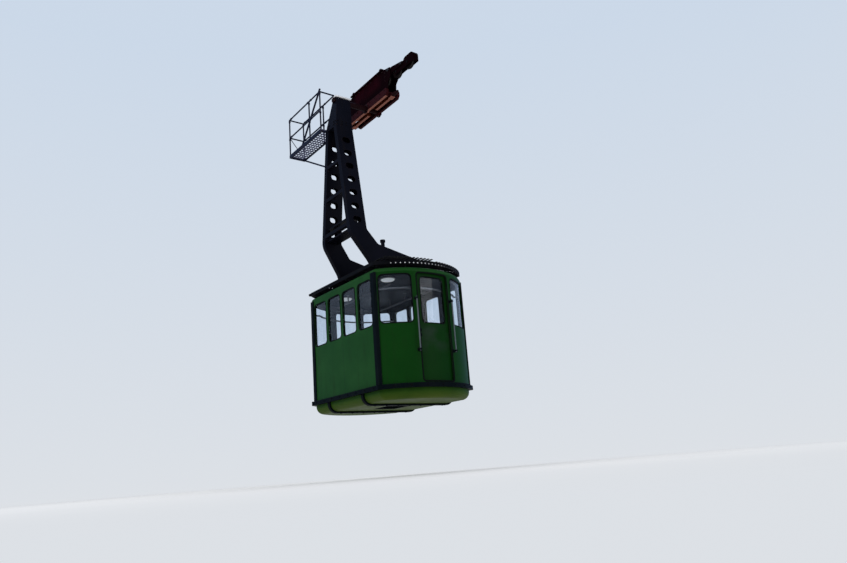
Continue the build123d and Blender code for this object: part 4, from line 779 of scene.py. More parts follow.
METALS = {
    "pin_steel_finish": dict(colour=(0.012, 0.009, 0.008), roughness=0.50, metallic=0.3,
                             stain=(0.014, 0.007, 0.005)),
    "zinc_bolt": dict(colour=(0.11, 0.11, 0.115), roughness=0.42, metallic=0.8, stain=(0.06, 0.027, 0.012),
                      stained=0.6),
    "galvanised": dict(colour=(0.10, 0.10, 0.17), roughness=0.5, metallic=0.35, stain=(0.07, 0.05, 0.05),
                       scale=24.0),
    "pale_sheet": dict(colour=(0.80, 0.81, 0.83), roughness=0.45, metallic=0.1, stain=(0.45, 0.42, 0.40),
                       scale=24.0),
    "satin_silver": dict(colour=(0.11, 0.125, 0.118), roughness=0.38, metallic=0.7,
                         stain=(0.05, 0.05, 0.045), stained=0.5, scale=220.0, brushed=(1.0, 1.0, 0.05)),
    "inner_silver": dict(colour=(0.15, 0.14, 0.14), roughness=0.38, metallic=0.7,
                         stain=(0.09, 0.08, 0.07), stained=0.3, scale=220.0, brushed=(1.0, 1.0, 0.05)),
}
OTHER_FINISHES = {
    "clip_sheet": sheet_darker_on_far_side, "black_rubber": rubber, "pane_glass": glass, "opal_plastic": opal,
}
SLOT_FINISH = {
    "carriage_red": "carriage_paint", "beam_red": "beam_paint", "hanger_black": "hanger_paint",
    "wheel_steel": "wheel_paint", "shaft_maroon": "shaft_paint", "pin_steel": "pin_steel_finish",
    "cabin_green": "side_paint", "door_green": "bow_paint", "black_trim": "trim_paint",
    "deck_black": "deck_paint", "grating_grey": "galvanised", "rail_grey": "rail_paint",
    "floor_grey": "floor_rubber", "handrail_silver": "satin_silver", "lamp_white": "opal_plastic",
    "window_glass": "pane_glass",
}
NODE_FINISH = {
    "uphill_door": "door_paint", "downhill_door": "door_paint", "roof_pan": "roof_paint",
    "belly_tub": "belly_paint", "deck_frame": "deck_frame_paint", "inner_rails": "inner_silver",
    "door_guides": "inner_silver",
}


def finish_named(name):
    """Builds a finish once and hands out the same one after that."""
    if name in bpy.data.materials:
        return bpy.data.materials[name]
    if name in METALS:
        return steel(name, **METALS[name])
    if name in OTHER_FINISHES:
        return OTHER_FINISHES[name](name)
    return coated(name, **paint_coats()[name])


# Settings


class CableCarColours(bpy.types.PropertyGroup):
    side_green: bpy.props.FloatVectorProperty(
        name="Side green", description="Paint of the cabin's flat sides and roof", subtype="COLOR", size=3,
        min=0.0, max=1.0, default=(0.0080, 0.0480, 0.0090))
    # Darker copy of the side green for the bows and doors: painted shade
    shaded_bow_green: bpy.props.FloatVectorProperty(
        name="Bow green", description="Paint of the bowed ends and the doors", subtype="COLOR", size=3,
        min=0.0, max=1.0, default=(0.0035, 0.0345, 0.0040))
    hanger_black: bpy.props.FloatVectorProperty(
        name="Hanger black", description="Paint of the hanger", subtype="COLOR", size=3,
        min=0.0, max=1.0, default=(0.0024, 0.0026, 0.0055))
    carriage_red: bpy.props.FloatVectorProperty(
        name="Carriage red", description="Paint of the carriage's frame", subtype="COLOR", size=3,
        min=0.0, max=1.0, default=(0.0035, 0.0006, 0.0014))
    beam_red: bpy.props.FloatVectorProperty(
        name="Beam red", description="Paint of the twin lower beams", subtype="COLOR", size=3,
        min=0.0, max=1.0, default=(0.0210, 0.0030, 0.0042))


class CableCarSizes(bpy.types.PropertyGroup):
    seal_lip: bpy.props.FloatProperty(
        name="Seal lip", description="Width of the rubber seal seen around each window", unit="LENGTH",
        min=0.005, max=0.05, default=0.020)
    seal_depth: bpy.props.FloatProperty(
        name="Seal depth", description="How far a window seal stands out of the wall, both sides together",
        unit="LENGTH", min=0.002, max=0.02, default=0.008)
    bolt_across: bpy.props.FloatProperty(
        name="Bolt size", description="Width across the flats of the hanger's and the carriage's bolts",
        unit="LENGTH", min=0.008, max=0.06, default=0.022)
    rail_bolt_pitch: bpy.props.FloatProperty(
        name="Rail bolt pitch", description="Distance between the bolts of the bumper rail", unit="LENGTH",
        min=0.1, max=1.0, default=0.30)
    screw_radius: bpy.props.FloatProperty(
        name="Screw radius", description="Head radius of the deck's and the trim's screws", unit="LENGTH",
        min=0.002, max=0.02, default=0.007)


class StudioSettings(bpy.types.PropertyGroup):
    lens: bpy.props.FloatProperty(
        name="Lens", description="Focal length of the camera in millimetres", min=10.0, max=200.0,
        default=29.539)
    floor_level: bpy.props.FloatProperty(
        name="Floor level", description="Height of the studio floor", unit="LENGTH", default=-8.05)
    ambient: bpy.props.FloatProperty(
        name="Ambient", description="Strength of the even light from all around", min=0.0, max=2.0,
        default=0.62)


# Pieces that several operators use


def seal_ring(width, height, radius, lip, cuts=0):
    """Flat rounded ring in the YZ plane about the origin, lapping both ways over the edge of an opening."""
    nothing_selected()
    bpy.ops.mesh.primitive_plane_add(size=1.0, rotation=(0.0, math.pi / 2, 0.0))
    ring = bpy.context.object
    ring.scale = (height + lip, width + lip, 1.0)
    settle(ring)
    edit_select(ring, "VERT", lambda vert: True)
    bpy.ops.mesh.bevel(offset=radius + lip / 2, segments=7, affect="VERTICES")
    edit_select(ring, "FACE", lambda face: True)
    bpy.ops.mesh.inset(thickness=lip, depth=0.0)
    bpy.ops.mesh.delete(type="FACE")
    if cuts:
        straight = width / 2 - radius + HAIR
        edit_select(ring, "EDGE", lambda edge: all(abs(vert.co.y) < straight for vert in edge.verts)
                    and abs(edge.verts[0].co.z - edge.verts[1].co.z) < 1e-5
                    and abs(edge.verts[0].co.y - edge.verts[1].co.y) > 0.01)
        bpy.ops.mesh.subdivide(number_cuts=cuts)
    leave_edit()
    return ring


def bent_ring(half_width, radius_out, height, corner, lip):
    """The same ring bent onto a bow of the given radius about the origin."""
    width = 2 * radius_out * math.tan(math.asin(half_width / radius_out))
    ring = seal_ring(width, height, corner, lip, cuts=9)
    ring.location = (radius_out, 0.0, 0.0)
    settle(ring)
    modify(ring, "CAST", cast_type="CYLINDER", use_z=False, factor=1.0, size=radius_out,
           use_radius_as_size=False)
    return ring


def thick_ring(ring, depth):
    modify(ring, "SOLIDIFY", thickness=depth, offset=0.0, use_even_offset=True)
    rounded(ring, depth * 0.35, 2, 50.0)
    return ring


def hex_bolt(across, head):
    """Hexagon head on its washer, standing on the XY plane."""
    washer = across * 0.12
    bolt = drum(across / math.sqrt(3.0), head, 6, washer)
    edit_select(bolt, "EDGE", lambda edge: min(vert.co.z for vert in edge.verts) > washer + head * 0.9)
    bpy.ops.mesh.bevel(offset=head * 0.2, segments=1)
    leave_edit()
    disc = drum(across * 0.68, washer, 14)
    edit_select(disc, "EDGE", lambda edge: min(vert.co.z for vert in edge.verts) > washer * 0.9)
    bpy.ops.mesh.bevel(offset=washer * 0.35, segments=1)
    leave_edit()
    return joined([bolt, disc])


def dome_head(radius, height, sides=12):
    """Low round head, standing on the XY plane."""
    head = drum(radius, height * 0.45, sides)
    raised_top(head, (radius * 0.22, height * 0.35), (radius * 0.35, height * 0.20))
    return head


def ring_plate(inner, outer, thickness, sides=40, bevel=0.0015):
    """Flat ring about Z, standing on the XY plane."""
    ring = drum(outer, thickness, sides)
    edit_select(ring, "FACE", lambda face: abs(face.normal.z) > 0.9)
    bpy.ops.mesh.inset(thickness=outer - inner)
    bpy.ops.mesh.bridge_edge_loops()
    leave_edit()
    rounded(ring, bevel, 2, 60.0)
    return ring


def cut_plate(length, width, thickness, corner):
    """Flat plate with rounded corners, standing on the XY plane."""
    plate = block((0.0, 0.0, thickness / 2), (length, width, thickness))
    edit_select(plate, "EDGE", lambda edge: abs(edge.verts[0].co.z - edge.verts[1].co.z) > thickness * 0.9)
    bpy.ops.mesh.bevel(offset=corner, segments=5)
    leave_edit()
    rounded(plate, min(0.0015, thickness * 0.2), 1, 60.0)
    return plate


def shifts(spots, height):
    return [Matrix.Translation((x, y, height)) for x, y in spots]


def bolt_circle(radius, count, height=0.0):
    turns = [2 * math.pi * i / count for i in range(count)]
    return shifts([(radius * math.cos(turn), radius * math.sin(turn)) for turn in turns], height)


def bolted_plate(length, width, thickness, bolt, spots):
    plate = cut_plate(length, width, thickness, width * 0.25)
    return joined([plate, spread(hex_bolt(bolt, bolt * 0.55), shifts(spots, thickness))])


# Operators


class PaintFrame(bpy.types.Operator):
    """Gives every node of the frame its finish"""
    bl_idname = "cable_car.paint_frame"
    bl_label = "Paint the frame"

    def execute(self, context):
        slots = {row["node"]: row["material_slot"] for row in frame["record"]["subparts"]}
        for name, node in frame["nodes"].items():
            finish = NODE_FINISH.get(name, SLOT_FINISH[slots[name]])
            for place in node.material_slots:
                place.material = finish_named(finish)
        return {"FINISHED"}


class FitWindowSeals(bpy.types.Operator):
    """Puts rubber seals around the side and corner windows, outside and inside"""
    bl_idname = "cable_car.fit_window_seals"
    bl_label = "Fit the window seals"

    def execute(self, context):
        sizes = context.scene.cable_car_sizes
        lip, depth = sizes.seal_lip, sizes.seal_depth
        ring = thick_ring(seal_ring(SIDE_WINDOW_WIDTH, SIDE_WINDOW_TOP - WINDOW_BOTTOM, SIDE_WINDOW_RADIUS,
                                    lip), depth)
        middle = level((WINDOW_BOTTOM + SIDE_WINDOW_TOP) / 2)
        quarter = Matrix.Rotation(math.pi / 2, 4, "Z")
        places = [Matrix.Translation((x, side * y, middle)) @ quarter
                  for x in SIDE_WINDOW_X for side in (1, -1) for y in (HALF_WIDTH, HALF_WIDTH - WALL)]
        deliver(spread(ring, places), "side_window_seals", CABIN, "black_rubber")
        middle = (WINDOW_BOTTOM + CORNER_WINDOW_TOP) / 2
        half_width = BOW_RADIUS * math.sin(math.radians(CORNER_WINDOW_HALF_ANGLE))
        places = [around_bow(side * CORNER_WINDOW_ANGLE, end, middle) for end in (1, -1) for side in (1, -1)]
        pieces = []
        for radius in (BOW_RADIUS, BOW_RADIUS - WALL + depth / 2 - HAIR):
            bent = bent_ring(half_width, radius, CORNER_WINDOW_TOP - WINDOW_BOTTOM, CORNER_WINDOW_RADIUS, lip)
            pieces.append(spread(thick_ring(bent, depth), places))
        deliver(joined(pieces), "corner_window_seals", CABIN, "black_rubber")
        return {"FINISHED"}


class FitDoorSeals(bpy.types.Operator):
    """Puts a rubber seal around each door's window and around each door opening"""
    bl_idname = "cable_car.fit_door_seals"
    bl_label = "Fit the door seals"

    def execute(self, context):
        sizes = context.scene.cable_car_sizes
        window_seal_depth = 0.0045
        middle = (WINDOW_BOTTOM + SIDE_WINDOW_TOP) / 2
        half_width = (BOW_RADIUS - DOOR_RECESS) * math.sin(math.radians(DOOR_WINDOW_HALF_ANGLE))
        for end, body in ((1, "uphill_door"), (-1, "downhill_door")):
            place = around_bow(0.0, end, middle)
            pieces = []
            for depth_in in (DOOR_RECESS + HAIR, DOOR_RECESS + DOOR_THICKNESS):
                ring = bent_ring(half_width, BOW_RADIUS - depth_in, SIDE_WINDOW_TOP - WINDOW_BOTTOM,
                                 DOOR_WINDOW_RADIUS, sizes.seal_lip)
                pieces.append(spread(thick_ring(ring, window_seal_depth), [place]))
            deliver(joined(pieces), body + "_window_seal", body, "black_rubber")
        ring = bent_ring(DOOR_OPENING_HALF_WIDTH, BOW_RADIUS, DOOR_OPENING_TOP - DOOR_OPENING_BOTTOM,
                         DOOR_OPENING_RADIUS, sizes.seal_lip * 1.3)
        ring = thick_ring(ring, sizes.seal_depth * 1.25)
        middle = (DOOR_OPENING_BOTTOM + DOOR_OPENING_TOP) / 2
        places = [around_bow(0.0, end, middle) for end in (1, -1)]
        deliver(spread(ring, places), "door_opening_seals", CABIN, "black_rubber")
        return {"FINISHED"}


class FitLegCollars(bpy.types.Operator):
    """Puts a rolled collar around the oval holes of the hanger's legs and bolts covers over two of them"""
    bl_idname = "cable_car.fit_leg_collars"
    bl_label = "Fit the leg collars"

    def execute(self, context):
        collar_lip, collar_depth = 0.012, 0.010
        collar = seal_ring(LEG_HOLE_LENGTH, LEG_HOLE_HEIGHT, LEG_HOLE_HEIGHT / 2 - 0.006, collar_lip)
        lie_flat = Matrix(((0.0, 1.0, 0.0), (0.0, 0.0, 1.0), (1.0, 0.0, 0.0))).to_4x4()
        collar.matrix_world = lie_flat
        settle(collar)
        modify(collar, "SOLIDIFY", thickness=collar_depth, offset=0.0, use_even_offset=True)
        rounded(collar, 0.003, 2, 50.0)
        covered = [leg_face(1, LEG_MIDDLE_Y, LEG_HOLE_LEVELS[index], False) for index in COVERED_HOLES]
        places = [leg_face(side, LEG_MIDDLE_Y, height, outward)
                  for height in LEG_HOLE_LEVELS for side in (1, -1) for outward in (True, False)]
        places = [place for place in places if place not in covered]
        deliver(spread(collar, places), "leg_hole_collars", CABIN, "hanger_paint")
        cover = bolted_plate(length=LEG_HOLE_LENGTH + 0.040, width=LEG_HOLE_HEIGHT + 0.030, thickness=0.006,
                             bolt=context.scene.cable_car_sizes.bolt_across * 0.6,
                             spots=[(x, y) for x in (-0.100, 0.100) for y in (-0.055, 0.055)])
        deliver(spread(cover, covered), "leg_hole_covers", CABIN, "hanger_paint")
        return {"FINISHED"}


class BoltTheHanger(bpy.types.Operator):
    """Bolts the rungs to the hanger's legs and the legs to its head, and puts the lid on the head"""
    bl_idname = "cable_car.bolt_the_hanger"
    bl_label = "Bolt the hanger"

    def execute(self, context):
        across = context.scene.cable_car_sizes.bolt_across
        plate = bolted_plate(length=0.120, width=0.150, thickness=0.008, bolt=across * 0.8,
                             spots=[(x, y) for x in (-0.035, 0.040) for y in (-0.056, 0.056)])
        places = [leg_face(side, LEG_OUTER_Y + 0.061, height, False)
                  for height in RUNG_HEIGHTS for side in (1, -1)]
        deliver(spread(plate, places), "rung_plates", CABIN, "hanger_paint")
        bolts = spread(hex_bolt(across, across * 0.55), self.head_places())
        deliver(bolts, "head_bolts", CABIN, "black_bolt")
        lid_y, lid_thickness = -0.784, 0.028
        lid = block((0.0, lid_y, level(HEAD_TOP) + lid_thickness / 2), (0.168, 0.372, lid_thickness))
        raised_top(lid, (0.030, 0.012))
        rounded(lid, 0.003, 2, 30.0)
        deliver(lid, "head_lid", CABIN, "pale_sheet")
        return {"FINISHED"}

    def head_places(self):
        """Two rows of bolts around the foot of the head, whose four faces lean inwards."""
        rise = HEAD_TOP - HEAD_JOINT
        half = leg_middle_x(HEAD_JOINT) + LEG_HALF_DEPTH
        outer_normal = Vector((0.0, -rise, HEAD_OUTER_LEAN)).normalized()
        places = []
        for step in (0.045, 0.115):
            height = level(HEAD_JOINT + step)
            up = step / rise
            reach = half + (HEAD_TOP_HALF_LENGTH - half) * up
            outer = LEG_OUTER_Y + HEAD_OUTER_LEAN * up
            inner = HEAD_INNER_Y + HEAD_INNER_LEAN * up
            for share in (-0.82, -0.5, 0.5, 0.82):
                places.append(stand((share * reach, outer, height), outer_normal))
                places.append(stand((share * reach, inner, height), HEAD_INNER_NORMAL))
            for share in (0.10, 0.37, 0.63, 0.90):
                for side in (1, -1):
                    normal = (side * HEAD_END_NORMAL[0], 0.0, HEAD_END_NORMAL[2])
                    places.append(stand((side * reach, outer + (inner - outer) * share, height), normal))
        return places


class BoltTheCarriage(bpy.types.Operator):
    """Puts the bolt rows, axle nuts, keeper plates, bearing flanges and cover ribs on the carriage"""
    bl_idname = "cable_car.bolt_the_carriage"
    bl_label = "Bolt the carriage"

    def execute(self, context):
        across = context.scene.cable_car_sizes.bolt_across
        self.bolt_rows(across)
        self.axle_nuts(across)
        self.keepers(across)
        self.bearing_flanges(across)
        self.cover_ribs()
        return {"FINISHED"}

    def bolt_rows(self, across):
        frame_face = node_box("carriage_frame")[1].y
        bottom_row, top_row, end_column = -0.130, 0.322, 0.72
        frame_spots = [(x, bottom_row) for x in (-0.66, -0.48, -0.30, -0.12, 0.12, 0.30, 0.48, 0.66)]
        frame_spots += [(0.155 * i, top_row) for i in range(-4, 5)]
        frame_spots += [(end * end_column, z) for end in (1, -1) for z in (0.06, 0.16, 0.26)]
        beam_face = node_box("lower_beams")[1].y
        beam_spots = [(end * x, z) for x in (0.16, 0.36, 0.56, 0.73) for z in (-0.180, -0.285)
                      for end in (1, -1)]
        places = [stand((x, side * face, z), (0.0, side, 0.0))
                  for side in (1, -1) for face, spots in ((frame_face, frame_spots), (beam_face, beam_spots))
                  for x, z in spots]
        deliver(spread(hex_bolt(across, across * 0.55), places), "carriage_bolts", CARRIAGE,
                "shaft_paint")

    def axle_nuts(self, across):
        hood_face = node_box("end_hoods")[1].y
        rocker_face = node_box("rockers")[1].y
        nut_turn = 0.26
        places = []
        for x in WHEEL_X:
            face = hood_face if x in (WHEEL_X[0], WHEEL_X[-1]) else rocker_face
            places += both_sides(x, face, WHEEL_AXLE_Z, nut_turn)
        deliver(spread(hex_bolt(across * 1.9, across * 0.6), places), "axle_nuts", CARRIAGE,
                "black_bolt")

    def keepers(self, across):
        small = bolted_plate(length=0.086, width=0.026, thickness=0.006, bolt=across * 0.7,
                             spots=[(-0.032, 0.0), (0.032, 0.0)])
        places = []
        for i in (-3, -1, 1, 3):
            places += both_sides(WHEEL_PITCH * i, ROCKER_PIN_Y, ROCKER_PIN_Z - 0.006, math.pi / 2)
        rockers = spread(small, places)
        large = bolted_plate(length=0.100, width=0.034, thickness=0.007, bolt=across * 0.8,
                             spots=[(-0.037, 0.0), (0.037, 0.0)])
        pin = EQUALIZER_PIN
        places = []
        for end in (-1, 1):
            places += both_sides(end * pin.x, pin.y, pin.z - 0.008, math.pi / 2)
        deliver(joined([rockers, spread(large, places)]), "pin_keepers", CARRIAGE,
                "pin_steel_finish")

    def bearing_flanges(self, across):
        flange = ring_plate(inner=0.0695, outer=0.100, thickness=0.012)
        heads = spread(hex_bolt(across * 0.8, across * 0.42), bolt_circle(0.085, 8, 0.012))
        flanges = spread(joined([flange, heads]), both_sides(PIVOT.x, 0.170, PIVOT.z))
        cap = ring_plate(inner=0.020, outer=0.040, thickness=0.006)
        heads = spread(hex_bolt(across * 0.7, across * 0.4), bolt_circle(0.048, 6))
        nipple = dome_head(radius=0.012, height=0.014)
        shaft_ends = ((-0.992, -1.0), (0.194, 1.0))
        caps = spread(joined([cap, heads, nipple]),
                      [stand(PIVOT + Vector((0.0, y, 0.0)), (0.0, way, 0.0)) for y, way in shaft_ends])
        deliver(joined([flanges, caps]), "pivot_flanges", CARRIAGE, "shaft_paint")

    def cover_ribs(self):
        rib = block((0.0, 0.0, 0.0), (0.030, 2 * node_box("frame_cover")[1].y - 0.050, 0.010))
        raised_top(rib, (0.007, 0.004))
        rounded(rib, 0.002, 2, 30.0)
        places = [Matrix.Translation((0.20 * i, 0.0, COVER_TOP_Z)) for i in range(-2, 3)]
        deliver(spread(rib, places), "cover_ribs", CARRIAGE, "carriage_paint")


class BoltTheWheels(bpy.types.Operator):
    """Puts a circle of bolts through the two discs of every track wheel"""
    bl_idname = "cable_car.bolt_the_wheels"
    bl_label = "Bolt the wheels"

    def execute(self, context):
        across = context.scene.cable_car_sizes.bolt_across
        disc_face, rim_face = 0.022, 0.0162
        for number, x in enumerate(WHEEL_X, 1):
            circle = spread(hex_bolt(across * 0.6, across * 0.35), bolt_circle(0.063, 6))
            rim = ring_plate(inner=0.0212, outer=0.030, thickness=0.003, sides=28, bevel=0.0006)
            rim.location = (0.0, 0.0, rim_face)
            settle(rim)
            deliver(spread(joined([circle, rim]), both_sides(x, disc_face, WHEEL_AXLE_Z)),
                    f"wheel_bolts_{number}", f"track_wheel_{number}", "black_bolt")
        return {"FINISHED"}


class ScrewTheDeck(bpy.types.Operator):
    """Screws every slat of the roof deck to the bearers under it"""
    bl_idname = "cable_car.screw_the_deck"
    bl_label = "Screw the deck"

    def execute(self, context):
        radius = context.scene.cable_car_sizes.screw_radius
        foot_x = leg_middle_x(FOOT_HEIGHT)
        bearers = (0.200, foot_x - FOOT_BEARER_GAP, foot_x + FOOT_BEARER_GAP, 1.180, 1.440)
        walkway = (WALKWAY_SLATS_Y, WALKWAY_TOP, WALKWAY_END_X - WALKWAY_BOW_RADIUS, WALKWAY_BOW_RADIUS)
        low_deck = (LOW_SLATS_Y, LOW_SLATS_TOP, BOW_CENTRE_X, BOW_RADIUS + DECK_EDGE)
        slat_margin = 0.02
        places = []
        for x in bearers:
            for slats, top, bow_centre, bow_radius in (walkway, low_deck):
                for y in slats:
                    if x < bow_centre + math.sqrt(bow_radius ** 2 - y ** 2) - slat_margin:
                        places += [Matrix.Translation((side * x, y, level(top))) for side in (1, -1)]
        deliver(spread(dome_head(radius, radius * 0.5, 8), places), "deck_screws", CABIN,
                "zinc_bolt")
        return {"FINISHED"}


class ClipTheDeck(bpy.types.Operator):
    """Puts a pale clip on the lower edge of the deck's rim under the end of every slat"""
    bl_idname = "cable_car.clip_the_deck"
    bl_label = "Clip the deck"

    def execute(self, context):
        clip = block((0.0, 0.0, 0.0), (0.020, 0.018, 0.008))
        raised_top(clip, (0.004, 0.002))
        rounded(clip, 0.0012, 1, 30.0)
        rim_height, rim_proud = 2.250, 0.010
        places = []
        for y in CLIPPED_SLATS_Y:
            angle = math.degrees(math.asin(y / BOW_RADIUS))
            places += [bow_spot(end * angle, rim_height, rim_proud, end) for end in (1, -1)]
        deliver(spread(clip, places), "deck_clips", CABIN, "clip_sheet")
        return {"FINISHED"}


class FitPlatformJoints(bpy.types.Operator):
    """Puts clamps at the corners of the platform's railing and feet under its posts"""
    bl_idname = "cable_car.fit_platform_joints"
    bl_label = "Fit the platform's joints"

    def execute(self, context):
        across = context.scene.cable_car_sizes.bolt_across
        floor_z = level(PLATFORM_FLOOR)
        posts_x, tees_x, foot_x = (-1.680, -0.730, -0.240), (-1.616, -0.794, -0.666), -0.730
        clamp_drop = 0.066
        collar = ring_plate(inner=RAILING_TUBE, outer=0.0215, thickness=0.044, sides=24)
        bolt = hex_bolt(across * 0.5, across * 0.3)
        bolt.matrix_world = stand((0.021, 0.0, 0.022), (1.0, 0.0, 0.0))
        settle(bolt)
        places = []
        for y in PLATFORM_EDGES_Y:
            turn = math.pi / 2 if y > PLATFORM_MIDDLE_Y else 1.5 * math.pi
            places += [stand((x, y, floor_z + height - clamp_drop), (0.0, 0.0, 1.0), turn)
                       for x in posts_x for height in RAILING_HEIGHTS]
            places += [stand((x, y, floor_z + height), (1.0, 0.0, 0.0))
                       for x in tees_x for height in RAILING_HEIGHTS]
        clamps = spread(joined([collar, bolt]), places)
        foot = bolted_plate(length=0.074, width=0.060, thickness=0.006, bolt=across * 0.5,
                            spots=[(x, y) for y in (-0.020, 0.020) for x in (-0.028, 0.028)])
        sleeve = ring_plate(inner=RAILING_TUBE, outer=0.0225, thickness=0.030, sides=24)
        feet = spread(joined([foot, sleeve]), shifts([(foot_x, y) for y in PLATFORM_EDGES_Y], floor_z))
        deliver(joined([clamps, feet]), "railing_clamps", CABIN, "rail_paint")
        return {"FINISHED"}


class FitBumperBolts(bpy.types.Operator):
    """Puts round-headed bolts along the bumper rail and the belly straps"""
    bl_idname = "cable_car.fit_bumper_bolts"
    bl_label = "Fit the bumper bolts"

    def execute(self, context):
        pitch = context.scene.cable_car_sizes.rail_bolt_pitch
        count = int(SIDE_HALF_LENGTH * 2 / pitch)
        along_side = [pitch * (i - (count - 1) / 2) for i in range(count)]
        rail_y = HALF_WIDTH + RAIL_PROUD
        places = [place for x in along_side for place in both_sides(x, rail_y, RAIL_Z)]
        places += [bow_spot(angle, 0.0, RAIL_PROUD, end) for angle in range(-36, 37, 12) for end in (1, -1)]
        straps_low, straps_high = node_box("belly_skids")
        for x in (-0.620, 0.620):
            places += both_sides(x, straps_high.y, RAIL_Z - 0.060)
            places += [stand((x, 0.26 * i, straps_low.z), (0.0, 0.0, -1.0)) for i in range(-3, 4)]
        bolt = dome_head(radius=0.014, height=0.009, sides=14)
        deliver(spread(bolt, places), "rail_bolts", CABIN, "black_bolt")
        return {"FINISHED"}


class FitCabinHardware(bpy.types.Operator):
    """Puts on the handrail flanges, lamp rims, inner rail sockets, door plates, hatch pull and post screws"""
    bl_idname = "cable_car.fit_cabin_hardware"
    bl_label = "Fit the cabin's hardware"

    def execute(self, context):
        radius = context.scene.cable_car_sizes.screw_radius
        self.handrail_flanges(radius)
        self.lamp_rims(radius)
        self.rail_sockets(radius)
        self.door_plates(radius)
        self.hatch_pull(radius)
        self.post_screws(radius)
        return {"FINISHED"}

    def screwed(self, plate, screw, height, places):
        """Joins a plate with small round screw heads of a given radius and height on it."""
        return joined([plate, spread(dome_head(screw, height, 8), places)])

    def handrail_flanges(self, radius):
        flange = self.screwed(ring_plate(inner=0.0205, outer=0.036, thickness=0.005, sides=28),
                              radius * 0.6, radius * 0.45, bolt_circle(0.029, 3, 0.005))
        flanges = spread(flange, [bow_spot(side * HANDRAIL_ANGLE, height, 0.0, end)
                                  for end in (1, -1) for side in (1, -1) for height in HANDRAIL_BRACKETS])
        bottom, top = HANDRAIL_ENDS
        reach = BOW_RADIUS + HANDRAIL_OUT
        places = [stand(bow_point(math.radians(side * HANDRAIL_ANGLE), reach, height, end), (0.0, 0.0, way))
                  for end in (1, -1) for side in (1, -1) for height, way in ((top, 1.0), (bottom, -1.0))]
        caps = spread(dome_head(radius=0.0135, height=0.008, sides=16), places)
        deliver(joined([flanges, caps]), "handrail_flanges", CABIN, "trim_paint")

    def lamp_rims(self, radius):
        rim = self.screwed(ring_plate(inner=0.129, outer=0.146, thickness=0.014, sides=56, bevel=0.004),
                           radius * 0.6, radius * 0.4, bolt_circle(0.138, 3, 0.013))
        places = [stand((side * LAMP_X, LAMP_Y, level(CEILING)), (0.0, 0.0, -1.0)) for side in (1, -1)]
        deliver(spread(rim, places), "lamp_rims", CABIN, "inner_silver")

    def rail_sockets(self, radius):
        rail_socket = ring_plate(inner=0.0145, outer=0.032, thickness=0.008, sides=28, bevel=0.002)
        rail_socket = self.screwed(rail_socket, radius * 0.5, radius * 0.4, bolt_circle(0.024, 3, 0.008))
        places = [stand((x, side * GRAB_RAIL_Y, level(CEILING)), (0.0, 0.0, -1.0))
                  for x in GRAB_RAIL_HANGERS_X for side in (1, -1)]
        places += [stand((end * CROSS_RAIL_X, side * (HALF_WIDTH - WALL), level(CROSS_RAIL_HEIGHT)),
                         (0.0, -side, 0.0)) for end in (1, -1) for side in (1, -1)]
        deliver(spread(rail_socket, places), "rail_sockets", CABIN, "inner_silver")

    def door_plates(self, radius):
        edge_gap = 0.030
        turn = edge_gap / BOW_RADIUS - math.asin(DOOR_OPENING_HALF_WIDTH / BOW_RADIUS)
        up = Vector((0.0, 0.0, 1.0))
        for end, body in ((1, "uphill_door"), (-1, "downhill_door")):
            plate = cut_plate(length=0.050, width=0.150, thickness=0.003, corner=0.012)
            plate = self.screwed(plate, radius * 0.6, radius * 0.45,
                                 shifts([(0.0, -0.062), (0.0, 0.062)], 0.003))
            plate = joined([plate, ring_plate(inner=0.0145, outer=0.0200, thickness=0.010, sides=24)])
            point = bow_point(turn, BOW_RADIUS - DOOR_RECESS - HAIR, DOOR_HANDLE_HEIGHT, end)
            normal = bow_normal(turn, end)
            upright = Matrix((up.cross(normal), up, normal)).transposed().to_4x4()
            deliver(spread(plate, [Matrix.Translation(point) @ upright]), body + "_handle_plate", body,
                    "trim_paint")

    def hatch_pull(self, radius):
        plate = cut_plate(length=0.090, width=0.060, thickness=0.003, corner=0.014)
        nothing_selected()
        bpy.ops.mesh.primitive_torus_add(major_radius=0.024, minor_radius=0.0035, major_segments=28,
                                         minor_segments=8, location=(0.0, 0.0, 0.0055))
        pull = bpy.context.object
        plate = self.screwed(joined([plate, pull]), radius * 0.6, radius * 0.4,
                             shifts([(-0.036, 0.0), (0.036, 0.0)], 0.003))
        deliver(spread(plate, shifts([(HATCH_PULL_X, 0.0)], level(FLOOR_TOP))), "hatch_pull", "floor_hatch",
                "inner_silver")

    def post_screws(self, radius):
        post_x, post_y = SIDE_HALF_LENGTH - 0.045, HALF_WIDTH + POST_PROUD
        heights = [level(0.14 + 0.24 * i) for i in range(9)]
        places = [place for height in heights for end in (1, -1)
                  for place in both_sides(end * post_x, post_y, height)]
        deliver(spread(dome_head(radius * 0.8, radius * 0.5, 10), places), "post_screws", CABIN,
                "black_bolt")


